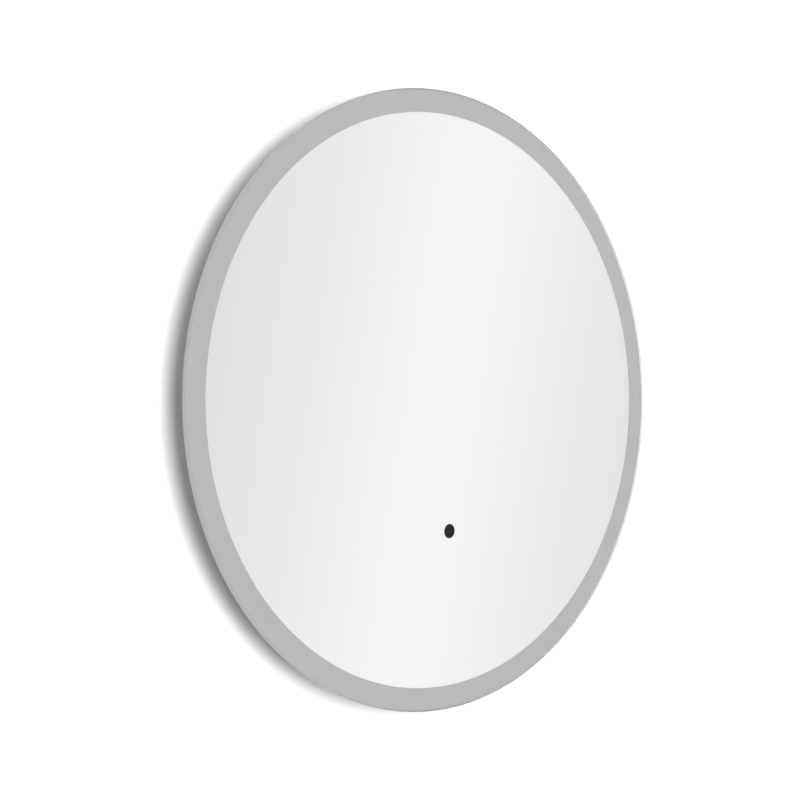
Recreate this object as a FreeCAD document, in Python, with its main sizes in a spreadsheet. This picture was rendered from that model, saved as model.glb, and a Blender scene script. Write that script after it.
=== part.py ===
import FreeCAD, Part
import math
import os
import re
import Sketcher

# A round wall mirror, 600 mm across, with a frosted light band at its edge, a touchless switch
# and a hang-on rail. Millimetres. X runs to the right, Y into the wall and Z up. The origin is on
# the wall face, midway between the two slots of the wall rail. "Depth" is the distance out from
# the wall, so a depth of 10 lies at Y = -10. The mirror's own pieces are drawn about its centre,
# which hangs hang_drop below the origin.

# ---------------------------------------------------------------- driving sizes

SIZES = [
    # glass and its silvering
    ("glass_radius", 300), ("glass_thickness", 5), ("glass_arris", 0.8), ("frost_band", 22),
    ("coating_thickness", 0.2), ("tape_thickness", 0.8), ("tape_width", 12), ("tape_inset", 2),
    # distance from the wall to the casing, and from the slots down to the mirror's centre
    ("wall_gap", 8), ("hang_drop", 122),
    # rolled aluminium hoop with its strip channel
    ("glass_overhang", 30), ("frame_depth", 20), ("frame_wall", 1.6), ("glue_flange", 16),
    ("back_flange", 12), ("ledge_height", 1.5), ("ledge_width", 1.2), ("hoop_joint", 0.6),
    ("splice_angle", 9), ("splice_thickness", 3), ("splice_play", 0.1), ("grub_radius", 2),
    ("grub_offset", 12), ("grub_play", 0.1),
    # light strip
    ("strip_width", 10), ("strip_play", 0.4), ("strip_glue", 0.2), ("strip_thickness", 0.3),
    ("strip_end_angle", 0.9),
    ("chip_length", 3.5), ("chip_width", 2.8), ("chip_height", 0.8), ("chip_count", 95),
    ("chip_start_angle", 3.6), ("connector_length", 13), ("connector_height", 4),
    # pressed steel back plate
    ("plate_thickness", 1), ("plate_inset", 2), ("bead_inset", 25), ("bead_slope", 5),
    ("bead_depth", 1.5),
    # fasteners
    ("screw_radius", 1.5), ("screw_head_radius", 2.8), ("screw_head_height", 1.8),
    ("screw_length", 6), ("screw_play", 0.1), ("plate_screw_inset", 6), ("plate_screw_count", 6),
    ("plate_screw_angle", 15),
    ("rivet_radius", 2), ("rivet_head_radius", 4), ("rivet_head_height", 1.2), ("rivet_play", 0.1),
    # wall rail and the hanger that hooks on it
    ("rail_length", 300), ("rail_sheet", 1.5), ("rail_below", 15), ("rail_above", 14),
    ("lip_height", 15), ("hook_room", 3.4), ("slot_spacing", 180), ("slot_length", 20),
    ("slot_width", 5.5), ("hanger_length", 280), ("hook_play", 0.95), ("hook_headroom", 1),
    ("hanger_flange", 24), ("rivet_near", 45), ("rivet_far", 120), ("bend_radius", 0.8),
    # rubber bumpers that hold the lower edge off the wall
    ("bumper_radius", 9), ("bumper_across", 110), ("bumper_inset", 110), ("bumper_neck", 2.5),
    ("bumper_barb", 3.4), ("bumper_barb_length", 2.5), ("bumper_round", 1.5), ("bumper_play", 0.1),
    # wiring bay: a moulded box let into the back plate, with a hinged lid
    ("bay_left", 80), ("bay_up", 10), ("bay_width", 92), ("bay_height", 56), ("bay_wall", 2),
    ("bay_depth", 13), ("bay_floor", 2), ("bay_flange", 1.5), ("bay_margin", 10),
    ("bay_corner", 4), ("bay_plate_play", 0.5), ("bay_screw_inset", 5), ("bridge_width", 26),
    ("lid_thickness", 2), ("lid_overlap", 3), ("lid_tail", 10), ("lid_play", 0.2),
    ("lid_rim", 1.5), ("lid_rim_depth", 2), ("lid_rim_play", 0.5), ("lid_screw_radius", 1.2),
    ("lid_screw_play", 0.4), ("lid_screw_reach", 4), ("lid_screw_up", 3.5),
    ("knuckle_radius", 2), ("knuckle_length", 8), ("knuckle_play", 0.3), ("hinge_back", 3),
    ("pin_radius", 1), ("pin_press", 0.03), ("pin_running", 0.06),
    # cable entry and terminals
    ("inlet_from_end", 13), ("inlet_radius", 6.2), ("inlet_bore", 3.75), ("inlet_collar", 8.4),
    ("inlet_collar_thickness", 1.4), ("inlet_play", 0.1),
    ("block_across", 14), ("block_width", 20), ("block_depth", 11.5), ("pole_pitch", 10),
    ("entry_radius", 2.7), ("insert_bore", 1.7), ("insert_play", 0.1), ("insert_inset", 2),
    ("terminal_screw_across", 4.5), ("terminal_screw_length", 4), ("block_rail", 1.5),
    ("block_rail_height", 3),
    # lamp driver
    ("driver_right", 75), ("driver_width", 130), ("driver_height", 42), ("driver_depth", 15),
    ("driver_wall", 1.8), ("driver_lid", 2), ("driver_round", 3), ("ear_length", 12),
    ("ear_width", 14), ("ear_thickness", 3), ("ear_up", 12), ("driver_screw_radius", 2),
    ("board_thickness", 1.6), ("board_play", 2), ("post_radius", 3), ("post_height", 1.8),
    ("nut_across", 7), ("nut_thickness", 3.2),
    # touchless switch behind the glass
    ("sensor_drop", 128), ("sensor_hole_radius", 7), ("window_play", 0.15),
    ("window_flange", 18), ("window_thickness", 1.2), ("sensor_width", 38), ("sensor_height", 30),
    ("sensor_wall", 1.6), ("sensor_depth", 11.3), ("sensor_tape", 0.5), ("sensor_cap", 1.6),
    ("sensor_corner", 3), ("sensor_play", 0.2), ("sensor_board", 1.2), ("eye_radius", 1.9),
    ("eye_across", 2.6),
    # leads that stay inside the casing, their seals and clips
    ("mains_lead_radius", 3), ("low_lead_radius", 2), ("earth_lead_radius", 1.2),
    ("core_radius", 0.9), ("lead_play", 0.15), ("lead_rest", 0.3), ("seal_wall", 1.1),
    ("seal_collar", 1.4), ("seal_play", 0.1), ("sheath_end", 8), ("clip_length", 8),
    ("clip_wall", 1.5), ("clip_across", 4),
    # earth connection
    ("earth_across", 5), ("earth_below", 35), ("stud_radius", 2), ("stud_foot_radius", 4.5),
    ("stud_foot", 1), ("stud_length", 9), ("tag_thickness", 0.8), ("tag_radius", 4),
    ("tag_barrel", 1.8), ("tag_barrel_length", 6), ("tag_play", 0.5),
]

os.makedirs("parts", exist_ok=True)
doc = FreeCAD.newDocument("lighted_round_mirror")
sheet = doc.addObject("Spreadsheet::Sheet", "sizes")
for row, (name, number) in enumerate(SIZES, start=1):
    sheet.set("A%d" % row, str(number))
    sheet.setAlias("A%d" % row, name)
doc.recompute()
NAMES = {name for name, number in SIZES}

# Depths and radii that follow from the driving sizes
PLATE_BACK = "wall_gap"
PLATE_FRONT = "(wall_gap + plate_thickness)"
FRAME_FRONT = "(wall_gap + plate_thickness + frame_depth)"
COATING_BACK = "(wall_gap + plate_thickness + frame_depth + tape_thickness)"
GLASS_BACK = "(wall_gap + plate_thickness + frame_depth + tape_thickness + coating_thickness)"
FRAME_RADIUS = "(glass_radius - glass_overhang)"
BEAD_RADIUS = "(glass_radius - glass_overhang - bead_inset)"
PLATE_SCREW = ("(glass_radius - glass_overhang - plate_screw_inset) * cos(plate_screw_angle)",
               "(glass_radius - glass_overhang - plate_screw_inset) * sin(plate_screw_angle)")
STRIP_BACK = "(glass_radius - glass_overhang + strip_glue)"
STRIP_RADIUS = "(glass_radius - glass_overhang + strip_glue + strip_thickness)"
STRIP_MIDDLE = "(wall_gap + plate_thickness + frame_depth / 2)"
CHANNEL_HALF = "(strip_width / 2 + strip_play)"


def bound(text):
    """The expression with every size read from the sheet."""
    return re.sub(r"[a-z][a-z_]*", lambda w: "sizes." + w.group() if w.group() in NAMES else w.group(), text)


def size(text):
    """The value that an expression of the sheet's sizes has now."""
    return float(sheet.evalExpression(text))


def minus(text):
    return "-(" + text + ")"


# ---------------------------------------------------------------- outlines of a sketch


def circle(x, y, radius):
    """A round outline: centre and radius."""

    def draw(sketch):
        at = FreeCAD.Vector(size(x), size(y), 0)
        edge = sketch.addGeometry(Part.Circle(at, FreeCAD.Vector(0, 0, 1), size(radius)))
        return place(edge, 3, x, y) + [(Sketcher.Constraint("Radius", edge, size(radius)), radius)]

    return draw


def polygon(corners):
    """A closed outline of straight lines through the corners."""

    def draw(sketch):
        at = [FreeCAD.Vector(size(x), size(y), 0) for x, y in corners]
        lines = [Part.LineSegment(p, q) for p, q in zip(at, at[1:] + at[:1])]
        edges = sketch.addGeometry(lines)
        held = [join(this, 2, following, 1) for this, following in zip(edges, edges[1:] + edges[:1])]
        for edge, (x, y) in zip(edges, corners):
            held += place(edge, 1, x, y)
        return held

    return draw


def box(x, y, width, height):
    """A rectangle: centre, width and height."""
    left, right = f"({x} - ({width}) / 2)", f"({x} + ({width}) / 2)"
    low, high = f"({y} - ({height}) / 2)", f"({y} + ({height}) / 2)"
    return polygon([(left, low), (right, low), (right, high), (left, high)])


def hexagon(x, y, across):
    """A hexagon with two flats upright: centre and width across the flats."""
    reach = f"({across}) / 2 / cos(30)"
    angles = range(30, 390, 60)
    return polygon([(f"{x} + {reach} * cos({a})", f"{y} + {reach} * sin({a})") for a in angles])


def slot(x, y, length, width):
    """A slot with round ends, long in the first direction: centre, length over all and width."""
    left, right = f"({x} - ({length} - {width}) / 2)", f"({x} + ({length} - {width}) / 2)"
    low, high = f"({y} - {width} / 2)", f"({y} + {width} / 2)"

    def draw(sketch):
        up = FreeCAD.Vector(0, 0, 1)
        x0, x1, y0, y1 = size(left), size(right), size(low), size(high)
        middle, radius = (y0 + y1) / 2, (y1 - y0) / 2
        ends = [Part.Circle(FreeCAD.Vector(at, middle, 0), up, radius) for at in (x1, x0)]
        top, right_end, bottom, left_end = sketch.addGeometry([
            Part.LineSegment(FreeCAD.Vector(x0, y1, 0), FreeCAD.Vector(x1, y1, 0)),
            Part.ArcOfCircle(ends[0], -math.pi / 2, math.pi / 2),
            Part.LineSegment(FreeCAD.Vector(x1, y0, 0), FreeCAD.Vector(x0, y0, 0)),
            Part.ArcOfCircle(ends[1], math.pi / 2, 3 * math.pi / 2),
        ])
        held = [join(top, 2, right_end, 2), join(right_end, 1, bottom, 1), join(bottom, 2, left_end, 2),
                join(left_end, 1, top, 1)]
        for edge, end, at_x, at_y in ((top, 1, left, high), (top, 2, right, high),
                                      (bottom, 1, right, low), (bottom, 2, left, low)):
            held += place(edge, end, at_x, at_y)
        held.append((Sketcher.Constraint("DistanceX", -1, 1, right_end, 3, x1), right))
        held.append((Sketcher.Constraint("DistanceX", -1, 1, left_end, 3, x0), left))
        return held

    return draw


def join(edge, end, other, other_end):
    """Two ends that meet. There is no size to bind."""
    return Sketcher.Constraint("Coincident", edge, end, other, other_end), None


def place(edge, end, x, y):
    """Dimensions for one point of an edge from the sketch's origin, with their expressions."""
    across = Sketcher.Constraint("DistanceX", -1, 1, edge, end, size(x))
    up = Sketcher.Constraint("DistanceY", -1, 1, edge, end, size(y))
    return [(across, x), (up, y)]


# ---------------------------------------------------------------- features of a body

PLANES = {"front": "XZ_Plane", "side": "YZ_Plane", "top": "XY_Plane"}
pieces = []


def new_body(label, x="0", z="-hang_drop"):
    """A piece, drawn about a point of the wall face and placed there; by default the mirror's centre."""
    body = doc.addObject("PartDesign::Body", label)
    body.Label = label
    body.setExpression("Placement.Base.x", bound(x))
    body.setExpression("Placement.Base.z", bound(z))
    pieces.append(body)
    return body


def bay_body(label):
    """A piece drawn about the centre of the wiring bay."""
    return new_body(label, "-bay_left", "bay_up - hang_drop")


def driver_body(label):
    """A piece drawn about the centre of the driver."""
    return new_body(label, "driver_right", "bay_up - hang_drop")


def sensor_body(label):
    """A piece drawn about the sensor's axis."""
    return new_body(label, "0", "-hang_drop - sensor_drop")


def new_sketch(body, plane, start, outlines):
    """A sketch on one of the body's origin planes, moved along its normal by start. The front plane
    has X and Z and its normal points out of the wall; the side plane has Y and Z, the top X and Y."""
    face = [f for f in body.Origin.OriginFeatures if f.Role == PLANES[plane]][0]
    sketch = body.newObject("Sketcher::SketchObject", body.Label + "_sketch")
    sketch.AttachmentSupport = [(face, "")]
    sketch.MapMode = "FlatFace"
    sketch.setExpression("AttachmentOffset.Base.z", bound(start))
    held = [pair for draw in outlines for pair in draw(sketch)]
    sketch.addConstraint([constraint for constraint, text in held])
    for number, (constraint, text) in enumerate(held):
        if text is not None:
            sketch.setExpression("Constraints[%d]" % number, bound(text))
    return sketch


def pad(body, plane, start, length, *outlines):
    """Adds the outlines' thickness along the plane's normal, from start."""
    feature = body.newObject("PartDesign::Pad", body.Label + "_pad")
    feature.Profile = new_sketch(body, plane, start, outlines)
    feature.setExpression("Length", bound(length))
    doc.recompute()
    return feature


def cut(body, plane, start, length, *outlines):
    """Cuts the outlines out along the plane's normal, from start, and checks that they cut."""
    before = body.Shape.Volume
    feature = body.newObject("PartDesign::Pocket", body.Label + "_cut")
    feature.Profile = new_sketch(body, plane, start, outlines)
    feature.Reversed = True
    feature.setExpression("Length", bound(length))
    doc.recompute()
    check_cut(body, before)
    return feature


def check_cut(body, before):
    if body.Shape.Volume > before - 1e-6:
        raise RuntimeError(body.Label + " has a cut that takes nothing away")


def turn(body, corners):
    """Turns a profile, given as (radius, depth) corners, once round the body's own Y axis."""
    feature = body.newObject("PartDesign::Revolution", body.Label + "_turn")
    outline = polygon([(radius, minus(depth)) for radius, depth in corners])
    feature.Profile = new_sketch(body, "top", "0", [outline])
    feature.ReferenceAxis = (feature.Profile[0], ["V_Axis"])
    feature.Angle = 360
    doc.recompute()
    return feature


def turn_arc(body, corners, angle):
    """Turns a (radius, depth) profile through an angle centred on the top of the mirror."""
    feature = body.newObject("PartDesign::Revolution", body.Label + "_turn")
    outline = polygon([(minus(depth), radius) for radius, depth in corners])
    feature.Profile = new_sketch(body, "side", "0", [outline])
    feature.ReferenceAxis = (feature.Profile[0], ["H_Axis"])
    feature.setExpression("Angle", bound(angle))
    feature.Midplane = True
    doc.recompute()
    return feature


def polar(body, features, count, angle="360"):
    """Repeats features round the body's Y axis."""
    pattern = body.newObject("PartDesign::PolarPattern", body.Label + "_pattern")
    pattern.Originals = features
    pattern.Axis = ([f for f in body.Origin.OriginFeatures if f.Role == "Y_Axis"][0], [""])
    pattern.setExpression("Occurrences", bound(count))
    pattern.setExpression("Angle", bound(angle))
    body.Tip = pattern
    doc.recompute()
    return pattern


def soften(body, kind, radius, chosen):
    """Fillets or chamfers the edges of the body's last feature that chosen accepts."""
    last = body.Tip
    names = ["Edge%d" % number for number, edge in enumerate(last.Shape.Edges, start=1) if chosen(edge)]
    if not names:
        raise RuntimeError(body.Label + " has no edge to soften")
    feature = body.newObject("PartDesign::" + kind, body.Label + "_" + kind.lower())
    feature.Base = (last, names)
    feature.setExpression("Radius" if kind == "Fillet" else "Size", bound(radius))
    doc.recompute()
    return feature


def along(edge, axis):
    """Whether an edge is a straight line along the axis, 0, 1 or 2."""
    return edge.Curve.TypeId == "Part::GeomLine" and abs(edge.Curve.Direction[axis]) > 0.999


def near(value, *texts):
    """Whether a coordinate is one of the expressions' values."""
    return any(abs(value - size(text)) < 1e-4 for text in texts)


def at_corner(edge, x, z):
    """Whether an edge stands at one of the four corners (x, z) about the body's own origin."""
    middle = edge.CenterOfMass
    return near(abs(middle.x), x) and near(abs(middle.z), z)


def rim(edge, radius, depth):
    """Whether an edge is a circle of this radius that lies at this depth."""
    if edge.Curve.TypeId != "Part::GeomCircle":
        return False
    return near(edge.Curve.Radius, radius) and near(edge.Curve.Center.y, minus(depth))


# ---------------------------------------------------------------- glass, silvering and casing


def glass_pane():
    body = new_body("glass_pane")
    pad(body, "front", GLASS_BACK, "glass_thickness", circle("0", "0", "glass_radius"))
    soften(body, "Chamfer", "glass_arris", lambda edge: edge.Curve.TypeId == "Part::GeomCircle")


def mirror_coating():
    """The silver layer and its paint end where the frosted band begins, and round the sensor's sight."""
    body = new_body("mirror_coating")
    pad(body, "front", COATING_BACK, "coating_thickness", circle("0", "0", "glass_radius - frost_band"),
        circle("0", "-sensor_drop", "sensor_hole_radius"))


def bond_tape():
    outer = f"({FRAME_RADIUS} - tape_inset)"
    body = new_body("bond_tape")
    pad(body, "front", FRAME_FRONT, "tape_thickness", circle("0", "0", outer),
        circle("0", "0", outer + " - tape_width"))


def ring_frame():
    """A rolled extrusion: a wall, a flange for the glass, one for the plate, and a ledge outside,
    behind the light strip, that seats it and screens it from the wall side."""
    body = new_body("ring_frame")
    front, back, outer = FRAME_FRONT, PLATE_FRONT, FRAME_RADIUS
    inner = f"({outer} - frame_wall)"
    ledge = f"({outer} + ledge_height)"
    low, high = f"({STRIP_MIDDLE} - {CHANNEL_HALF} - ledge_width)", f"({STRIP_MIDDLE} - {CHANNEL_HALF})"
    turn(body, [
        (f"{outer} - glue_flange", front), (outer, front), (outer, high), (ledge, high),
        (ledge, low), (outer, low), (outer, back), (f"{outer} - back_flange", back),
        (f"{outer} - back_flange", f"{back} + frame_wall"), (inner, f"{back} + frame_wall"),
        (inner, f"{front} - frame_wall"), (f"{outer} - glue_flange", f"{front} - frame_wall"),
    ])
    hole = cut(body, "front", "0", FRAME_FRONT + " / 2",
               circle(*PLATE_SCREW, "screw_radius + screw_play"))
    polar(body, [hole], "plate_screw_count")
    reach = "glue_flange * 2"
    cut(body, "front", "0", "2 * " + FRAME_FRONT, box("0", outer, "hoop_joint", reach))
    cut(body, "top", f"-{outer} - ledge_height", "ledge_height + frame_wall * 2",
        circle("0", minus(STRIP_MIDDLE), "low_lead_radius + lead_play + seal_wall + seal_play"))


def frame_splice():
    """The bar that bridges the hoop's joint from inside, with two holes for its grub screws."""
    body = new_body("frame_splice")
    outer = f"({FRAME_RADIUS} - frame_wall - splice_play)"
    inner = f"({outer} - splice_thickness)"
    low = f"({PLATE_FRONT} + frame_wall + splice_play)"
    high = f"({FRAME_FRONT} - frame_wall - splice_play)"
    turn_arc(body, [(inner, low), (outer, low), (outer, high), (inner, high)], "splice_angle")
    cut(body, "top", f"{inner} - splice_thickness", "3 * splice_thickness",
        circle("grub_offset", minus(STRIP_MIDDLE), "grub_radius + grub_play"),
        circle("-grub_offset", minus(STRIP_MIDDLE), "grub_radius + grub_play"))


def splice_screws():
    body = new_body("splice_screws")
    outer = f"sqrt(({FRAME_RADIUS} - frame_wall - splice_play)^2 - (grub_offset + grub_radius)^2)"
    pad(body, "top", f"{outer} - splice_thickness", "splice_thickness",
        circle("grub_offset", minus(STRIP_MIDDLE), "grub_radius"),
        circle("-grub_offset", minus(STRIP_MIDDLE), "grub_radius"))


def led_strip():
    body = new_body("led_strip")
    low, high = f"({STRIP_MIDDLE} - strip_width / 2)", f"({STRIP_MIDDLE} + strip_width / 2)"
    corners = [(STRIP_BACK, low), (STRIP_RADIUS, low), (STRIP_RADIUS, high), (STRIP_BACK, high)]
    turn_arc(body, corners, "360 - 2 * strip_end_angle")


def led_chips():
    """The first lamp stands beside the connector at the bottom and the others follow round the strip."""
    body = new_body("led_chips")
    body.Placement = FreeCAD.Placement(body.Placement.Base, FreeCAD.Rotation(FreeCAD.Vector(0, 1, 0), 1))
    body.setExpression("Placement.Rotation.Angle", bound("chip_start_angle"))
    first = pad(body, "top", f"-{STRIP_RADIUS} - chip_height", "chip_height",
                box("0", minus(STRIP_MIDDLE), "chip_length", "chip_width"))
    polar(body, [first], "chip_count", "360 - 2 * chip_start_angle")


def strip_connector():
    body = new_body("strip_connector")
    pad(body, "top", f"-{STRIP_RADIUS} - connector_height", "connector_height",
        box("0", minus(STRIP_MIDDLE), "connector_length", "strip_width"))
    soften(body, "Chamfer", "connector_height / 6",
           lambda edge: near(edge.CenterOfMass.z, f"-{STRIP_RADIUS} - connector_height"))


def back_plate():
    """A pressed steel disc with a stiffening bead, the bay's opening and its fixing holes. It has no
    vents, because the casing is kept splash-proof."""
    body = new_body("back_plate")
    back, front = PLATE_BACK, PLATE_FRONT
    edge = f"({FRAME_RADIUS} - plate_inset)"
    inner, outer = BEAD_RADIUS + " - bead_slope", BEAD_RADIUS + " + bead_slope"
    turn(body, [
        ("0", back), (inner, back), (BEAD_RADIUS, back + " + bead_depth"), (outer, back), (edge, back),
        (edge, front), (outer, front), (BEAD_RADIUS, front + " + bead_depth"), (inner, front),
        ("0", front),
    ])
    through = PLATE_FRONT + " * 2"
    hole = cut(body, "front", "0", through, circle(*PLATE_SCREW, "screw_radius + screw_play"))
    polar(body, [hole], "plate_screw_count")
    holes = [circle(x, RIVET_LEVEL, "rivet_radius + rivet_play") for x in RIVETS]
    holes += [circle(x, z, "bumper_neck + bumper_play") for x, z in BUMPERS]
    holes += [circle(f"{x} - bay_left", f"{z} + bay_up", "screw_radius + screw_play") for x, z in BAY_SCREWS]
    holes += [circle(f"{x} + driver_right", f"{z} + bay_up", "driver_screw_radius + screw_play")
              for x, z in DRIVER_SCREWS]
    holes.append(circle(f"{LID_MIDDLE} - bay_left", f"{LID_SCREW} + bay_up",
                        "lid_screw_radius + 2 * lid_screw_play"))
    holes.append(box("-bay_left", "bay_up", "bay_width + 2 * bay_wall + 2 * bay_plate_play",
                     "bay_height + 2 * bay_wall + 2 * bay_plate_play"))
    cut(body, "front", "0", through, *holes)
    left = "-bay_left - bay_width / 2 - bay_wall - bay_plate_play"
    right = "-bay_left + bay_width / 2 + bay_wall + bay_plate_play"
    soften(body, "Fillet", "bay_corner",
           lambda line: along(line, 1) and near(line.CenterOfMass.x, left, right))


# ---------------------------------------------------------------- fasteners

BUMPER_LEVEL = "(bumper_inset - glass_radius)"
BUMPERS = (("bumper_across", BUMPER_LEVEL), ("-bumper_across", BUMPER_LEVEL))
RIVETS = ("-rivet_far", "-rivet_near", "rivet_near", "rivet_far")
HANGER_BEND = "(rail_above + rail_sheet + lip_height + hook_headroom)"
RIVET_LEVEL = f"({HANGER_BEND} + rail_sheet + hanger_flange / 2 + hang_drop)"
BAY_SCREW_X = "(bay_width / 2 + bay_wall + bay_margin - bay_screw_inset)"
BAY_SCREW_Z = "(bay_height / 2 + bay_wall + bay_margin - bay_screw_inset)"
BAY_SCREWS = [(BAY_SCREW_X, minus(BAY_SCREW_Z)), (minus(BAY_SCREW_X), BAY_SCREW_Z)]
EAR_ACROSS = "(driver_width / 2 + ear_length / 2)"
DRIVER_SCREWS = [(EAR_ACROSS, "-ear_up"), (minus(EAR_ACROSS), "ear_up")]


def headed(body, centres, start, head_radius, head_height, shank_radius, shank_length):
    """Fasteners that point into the casing: round heads, then shanks."""
    heads = pad(body, "front", start, head_height, *[circle(x, z, head_radius) for x, z in centres])
    shanks = pad(body, "front", f"{start} + {head_height}", shank_length,
                 *[circle(x, z, shank_radius) for x, z in centres])
    return [heads, shanks]


def plate_screws():
    body = new_body("plate_screws")
    first = headed(body, [PLATE_SCREW], PLATE_BACK + " - screw_head_height",
                   "screw_head_radius", "screw_head_height", "screw_radius", "screw_length")
    polar(body, first, "plate_screw_count")


def bay_screws():
    start = PLATE_BACK + " - bay_flange - screw_head_height"
    headed(bay_body("bay_screws"), BAY_SCREWS, start, "screw_head_radius", "screw_head_height",
           "screw_radius", "bay_flange + screw_length / 2")


def hanger_rivets():
    start = PLATE_BACK + " - rail_sheet - rivet_head_height"
    headed(new_body("hanger_rivets"), [(x, RIVET_LEVEL) for x in RIVETS], start, "rivet_head_radius",
           "rivet_head_height", "rivet_radius", "rail_sheet + plate_thickness + rivet_head_height")


def driver_screws():
    length = "plate_thickness + ear_thickness + nut_thickness + board_thickness"
    headed(driver_body("driver_screws"), DRIVER_SCREWS, PLATE_BACK + " - screw_head_height",
           "driver_screw_radius * 1.9", "screw_head_height", "driver_screw_radius", length)


def driver_nuts():
    body = driver_body("driver_nuts")
    start = PLATE_FRONT + " + ear_thickness"
    pad(body, "front", start, "nut_thickness", *[hexagon(x, z, "nut_across") for x, z in DRIVER_SCREWS])
    cut(body, "front", start, "nut_thickness",
        *[circle(x, z, "driver_screw_radius + screw_play") for x, z in DRIVER_SCREWS])


# ---------------------------------------------------------------- hanging rails and bumpers


def wall_rail():
    """The rail that is screwed to the wall: a flat flange, and above it a lip that stands off the
    wall and points up, so that a trough is left behind it."""
    body = new_body("wall_rail", "0", "0")
    web = "(rail_above + rail_sheet)"
    section = [
        ("0", "-rail_below"), ("rail_sheet", "-rail_below"), ("rail_sheet", "rail_above"),
        ("hook_room + rail_sheet", "rail_above"), ("hook_room + rail_sheet", f"{web} + lip_height"),
        ("hook_room", f"{web} + lip_height"), ("hook_room", web), ("0", web),
    ]
    pad(body, "side", "-rail_length / 2", "rail_length", polygon([(minus(t), z) for t, z in section]))
    inner = [("rail_sheet", "rail_above"), ("hook_room", web)]
    outer = [("hook_room + rail_sheet", "rail_above"), ("0", web)]
    soften(body, "Fillet", "bend_radius", lambda edge: at_bend(edge, inner))
    soften(body, "Fillet", "bend_radius * 1.5", lambda edge: at_bend(edge, outer))
    cut(body, "front", "0", "rail_sheet", slot("-slot_spacing / 2", "0", "slot_length", "slot_width"),
        slot("slot_spacing / 2", "0", "slot_length", "slot_width"))
    soften(body, "Chamfer", "bend_radius * 4", lambda edge: along(edge, 1) and near(
        edge.CenterOfMass.z, "-rail_below", f"{web} + lip_height"))


def at_bend(edge, corners):
    """Whether an edge along X runs through one of the (depth, height) corners."""
    middle = edge.CenterOfMass
    return along(edge, 0) and any(near(middle.y, minus(t)) and near(middle.z, z) for t, z in corners)


def hanger_rail():
    """The hook riveted to the back plate: its lip points down and drops into the rail's trough."""
    body = new_body("hanger_rail", "0", "0")
    seat = "(rail_above + rail_sheet)"
    top = f"({HANGER_BEND} + rail_sheet)"
    section = [
        ("hook_play", seat), ("hook_play + rail_sheet", seat), ("hook_play + rail_sheet", HANGER_BEND),
        (PLATE_BACK, HANGER_BEND), (PLATE_BACK, f"{top} + hanger_flange"),
        (PLATE_BACK + " - rail_sheet", f"{top} + hanger_flange"), (PLATE_BACK + " - rail_sheet", top),
        ("hook_play", top),
    ]
    pad(body, "side", "-hanger_length / 2", "hanger_length", polygon([(minus(t), z) for t, z in section]))
    inner = [("hook_play + rail_sheet", HANGER_BEND), (PLATE_BACK + " - rail_sheet", top)]
    outer = [("hook_play", top), (PLATE_BACK, HANGER_BEND)]
    soften(body, "Fillet", "bend_radius", lambda edge: at_bend(edge, inner))
    soften(body, "Fillet", "bend_radius * 1.5", lambda edge: at_bend(edge, outer))
    cut(body, "front", PLATE_BACK + " - 2 * rail_sheet", "2 * rail_sheet",
        *[circle(x, RIVET_LEVEL + " - hang_drop", "rivet_radius + rivet_play") for x in RIVETS])
    soften(body, "Chamfer", "bend_radius * 4", lambda edge: along(edge, 1) and near(
        edge.CenterOfMass.z, seat, f"{top} + hanger_flange"))


def wall_bumpers():
    """Rubber feet, pushed into the plate by a neck and a barb, that rest on the wall."""
    body = new_body("wall_bumpers")
    pad(body, "front", "0", PLATE_BACK, *[circle(x, z, "bumper_radius") for x, z in BUMPERS])
    soften(body, "Chamfer", "bumper_round", lambda edge: rim(edge, "bumper_radius", "0"))
    pad(body, "front", PLATE_BACK, "plate_thickness", *[circle(x, z, "bumper_neck") for x, z in BUMPERS])
    pad(body, "front", PLATE_FRONT, "bumper_barb_length", *[circle(x, z, "bumper_barb") for x, z in BUMPERS])


# ---------------------------------------------------------------- wiring bay

FLANGE_BACK = "(wall_gap - bay_flange)"
BAY_BOTTOM = "(wall_gap + bay_depth)"
LID_FRONT = "(wall_gap - bay_flange - lid_play)"
LID_BACK = "(wall_gap - bay_flange - lid_play - lid_thickness)"
LID_LEFT = "(-bay_width / 2 + bridge_width - lid_overlap)"
LID_RIGHT = "(bay_width / 2 + lid_overlap)"
LID_MIDDLE = "(bridge_width / 2)"
LID_TOP = "(bay_height / 2 + lid_overlap)"
LID_FOOT = "(-bay_height / 2 - lid_tail)"
LID_SCREW = "(-bay_height / 2 - lid_tail + lid_screw_up)"
HINGE_LEVEL = "(bay_height / 2 + lid_overlap + hinge_back)"
HINGE_DEPTH = "(wall_gap - bay_flange - lid_play - knuckle_radius)"
OPENING_WIDTH = "(bay_width - bridge_width)"
LEAD_LEVEL = "(pole_pitch / 2)"
POLES = ("-pole_pitch", "0", "pole_pitch")
POLE_GAPS = ("-pole_pitch / 2", "pole_pitch / 2")
POLE_DEPTH = "(wall_gap + bay_depth - block_depth / 2)"
TERMINAL_SCREWS = ("block_across - terminal_screw_across", "block_across + terminal_screw_across")
INLET_X = "(-bay_width / 2 + inlet_from_end)"


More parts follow.
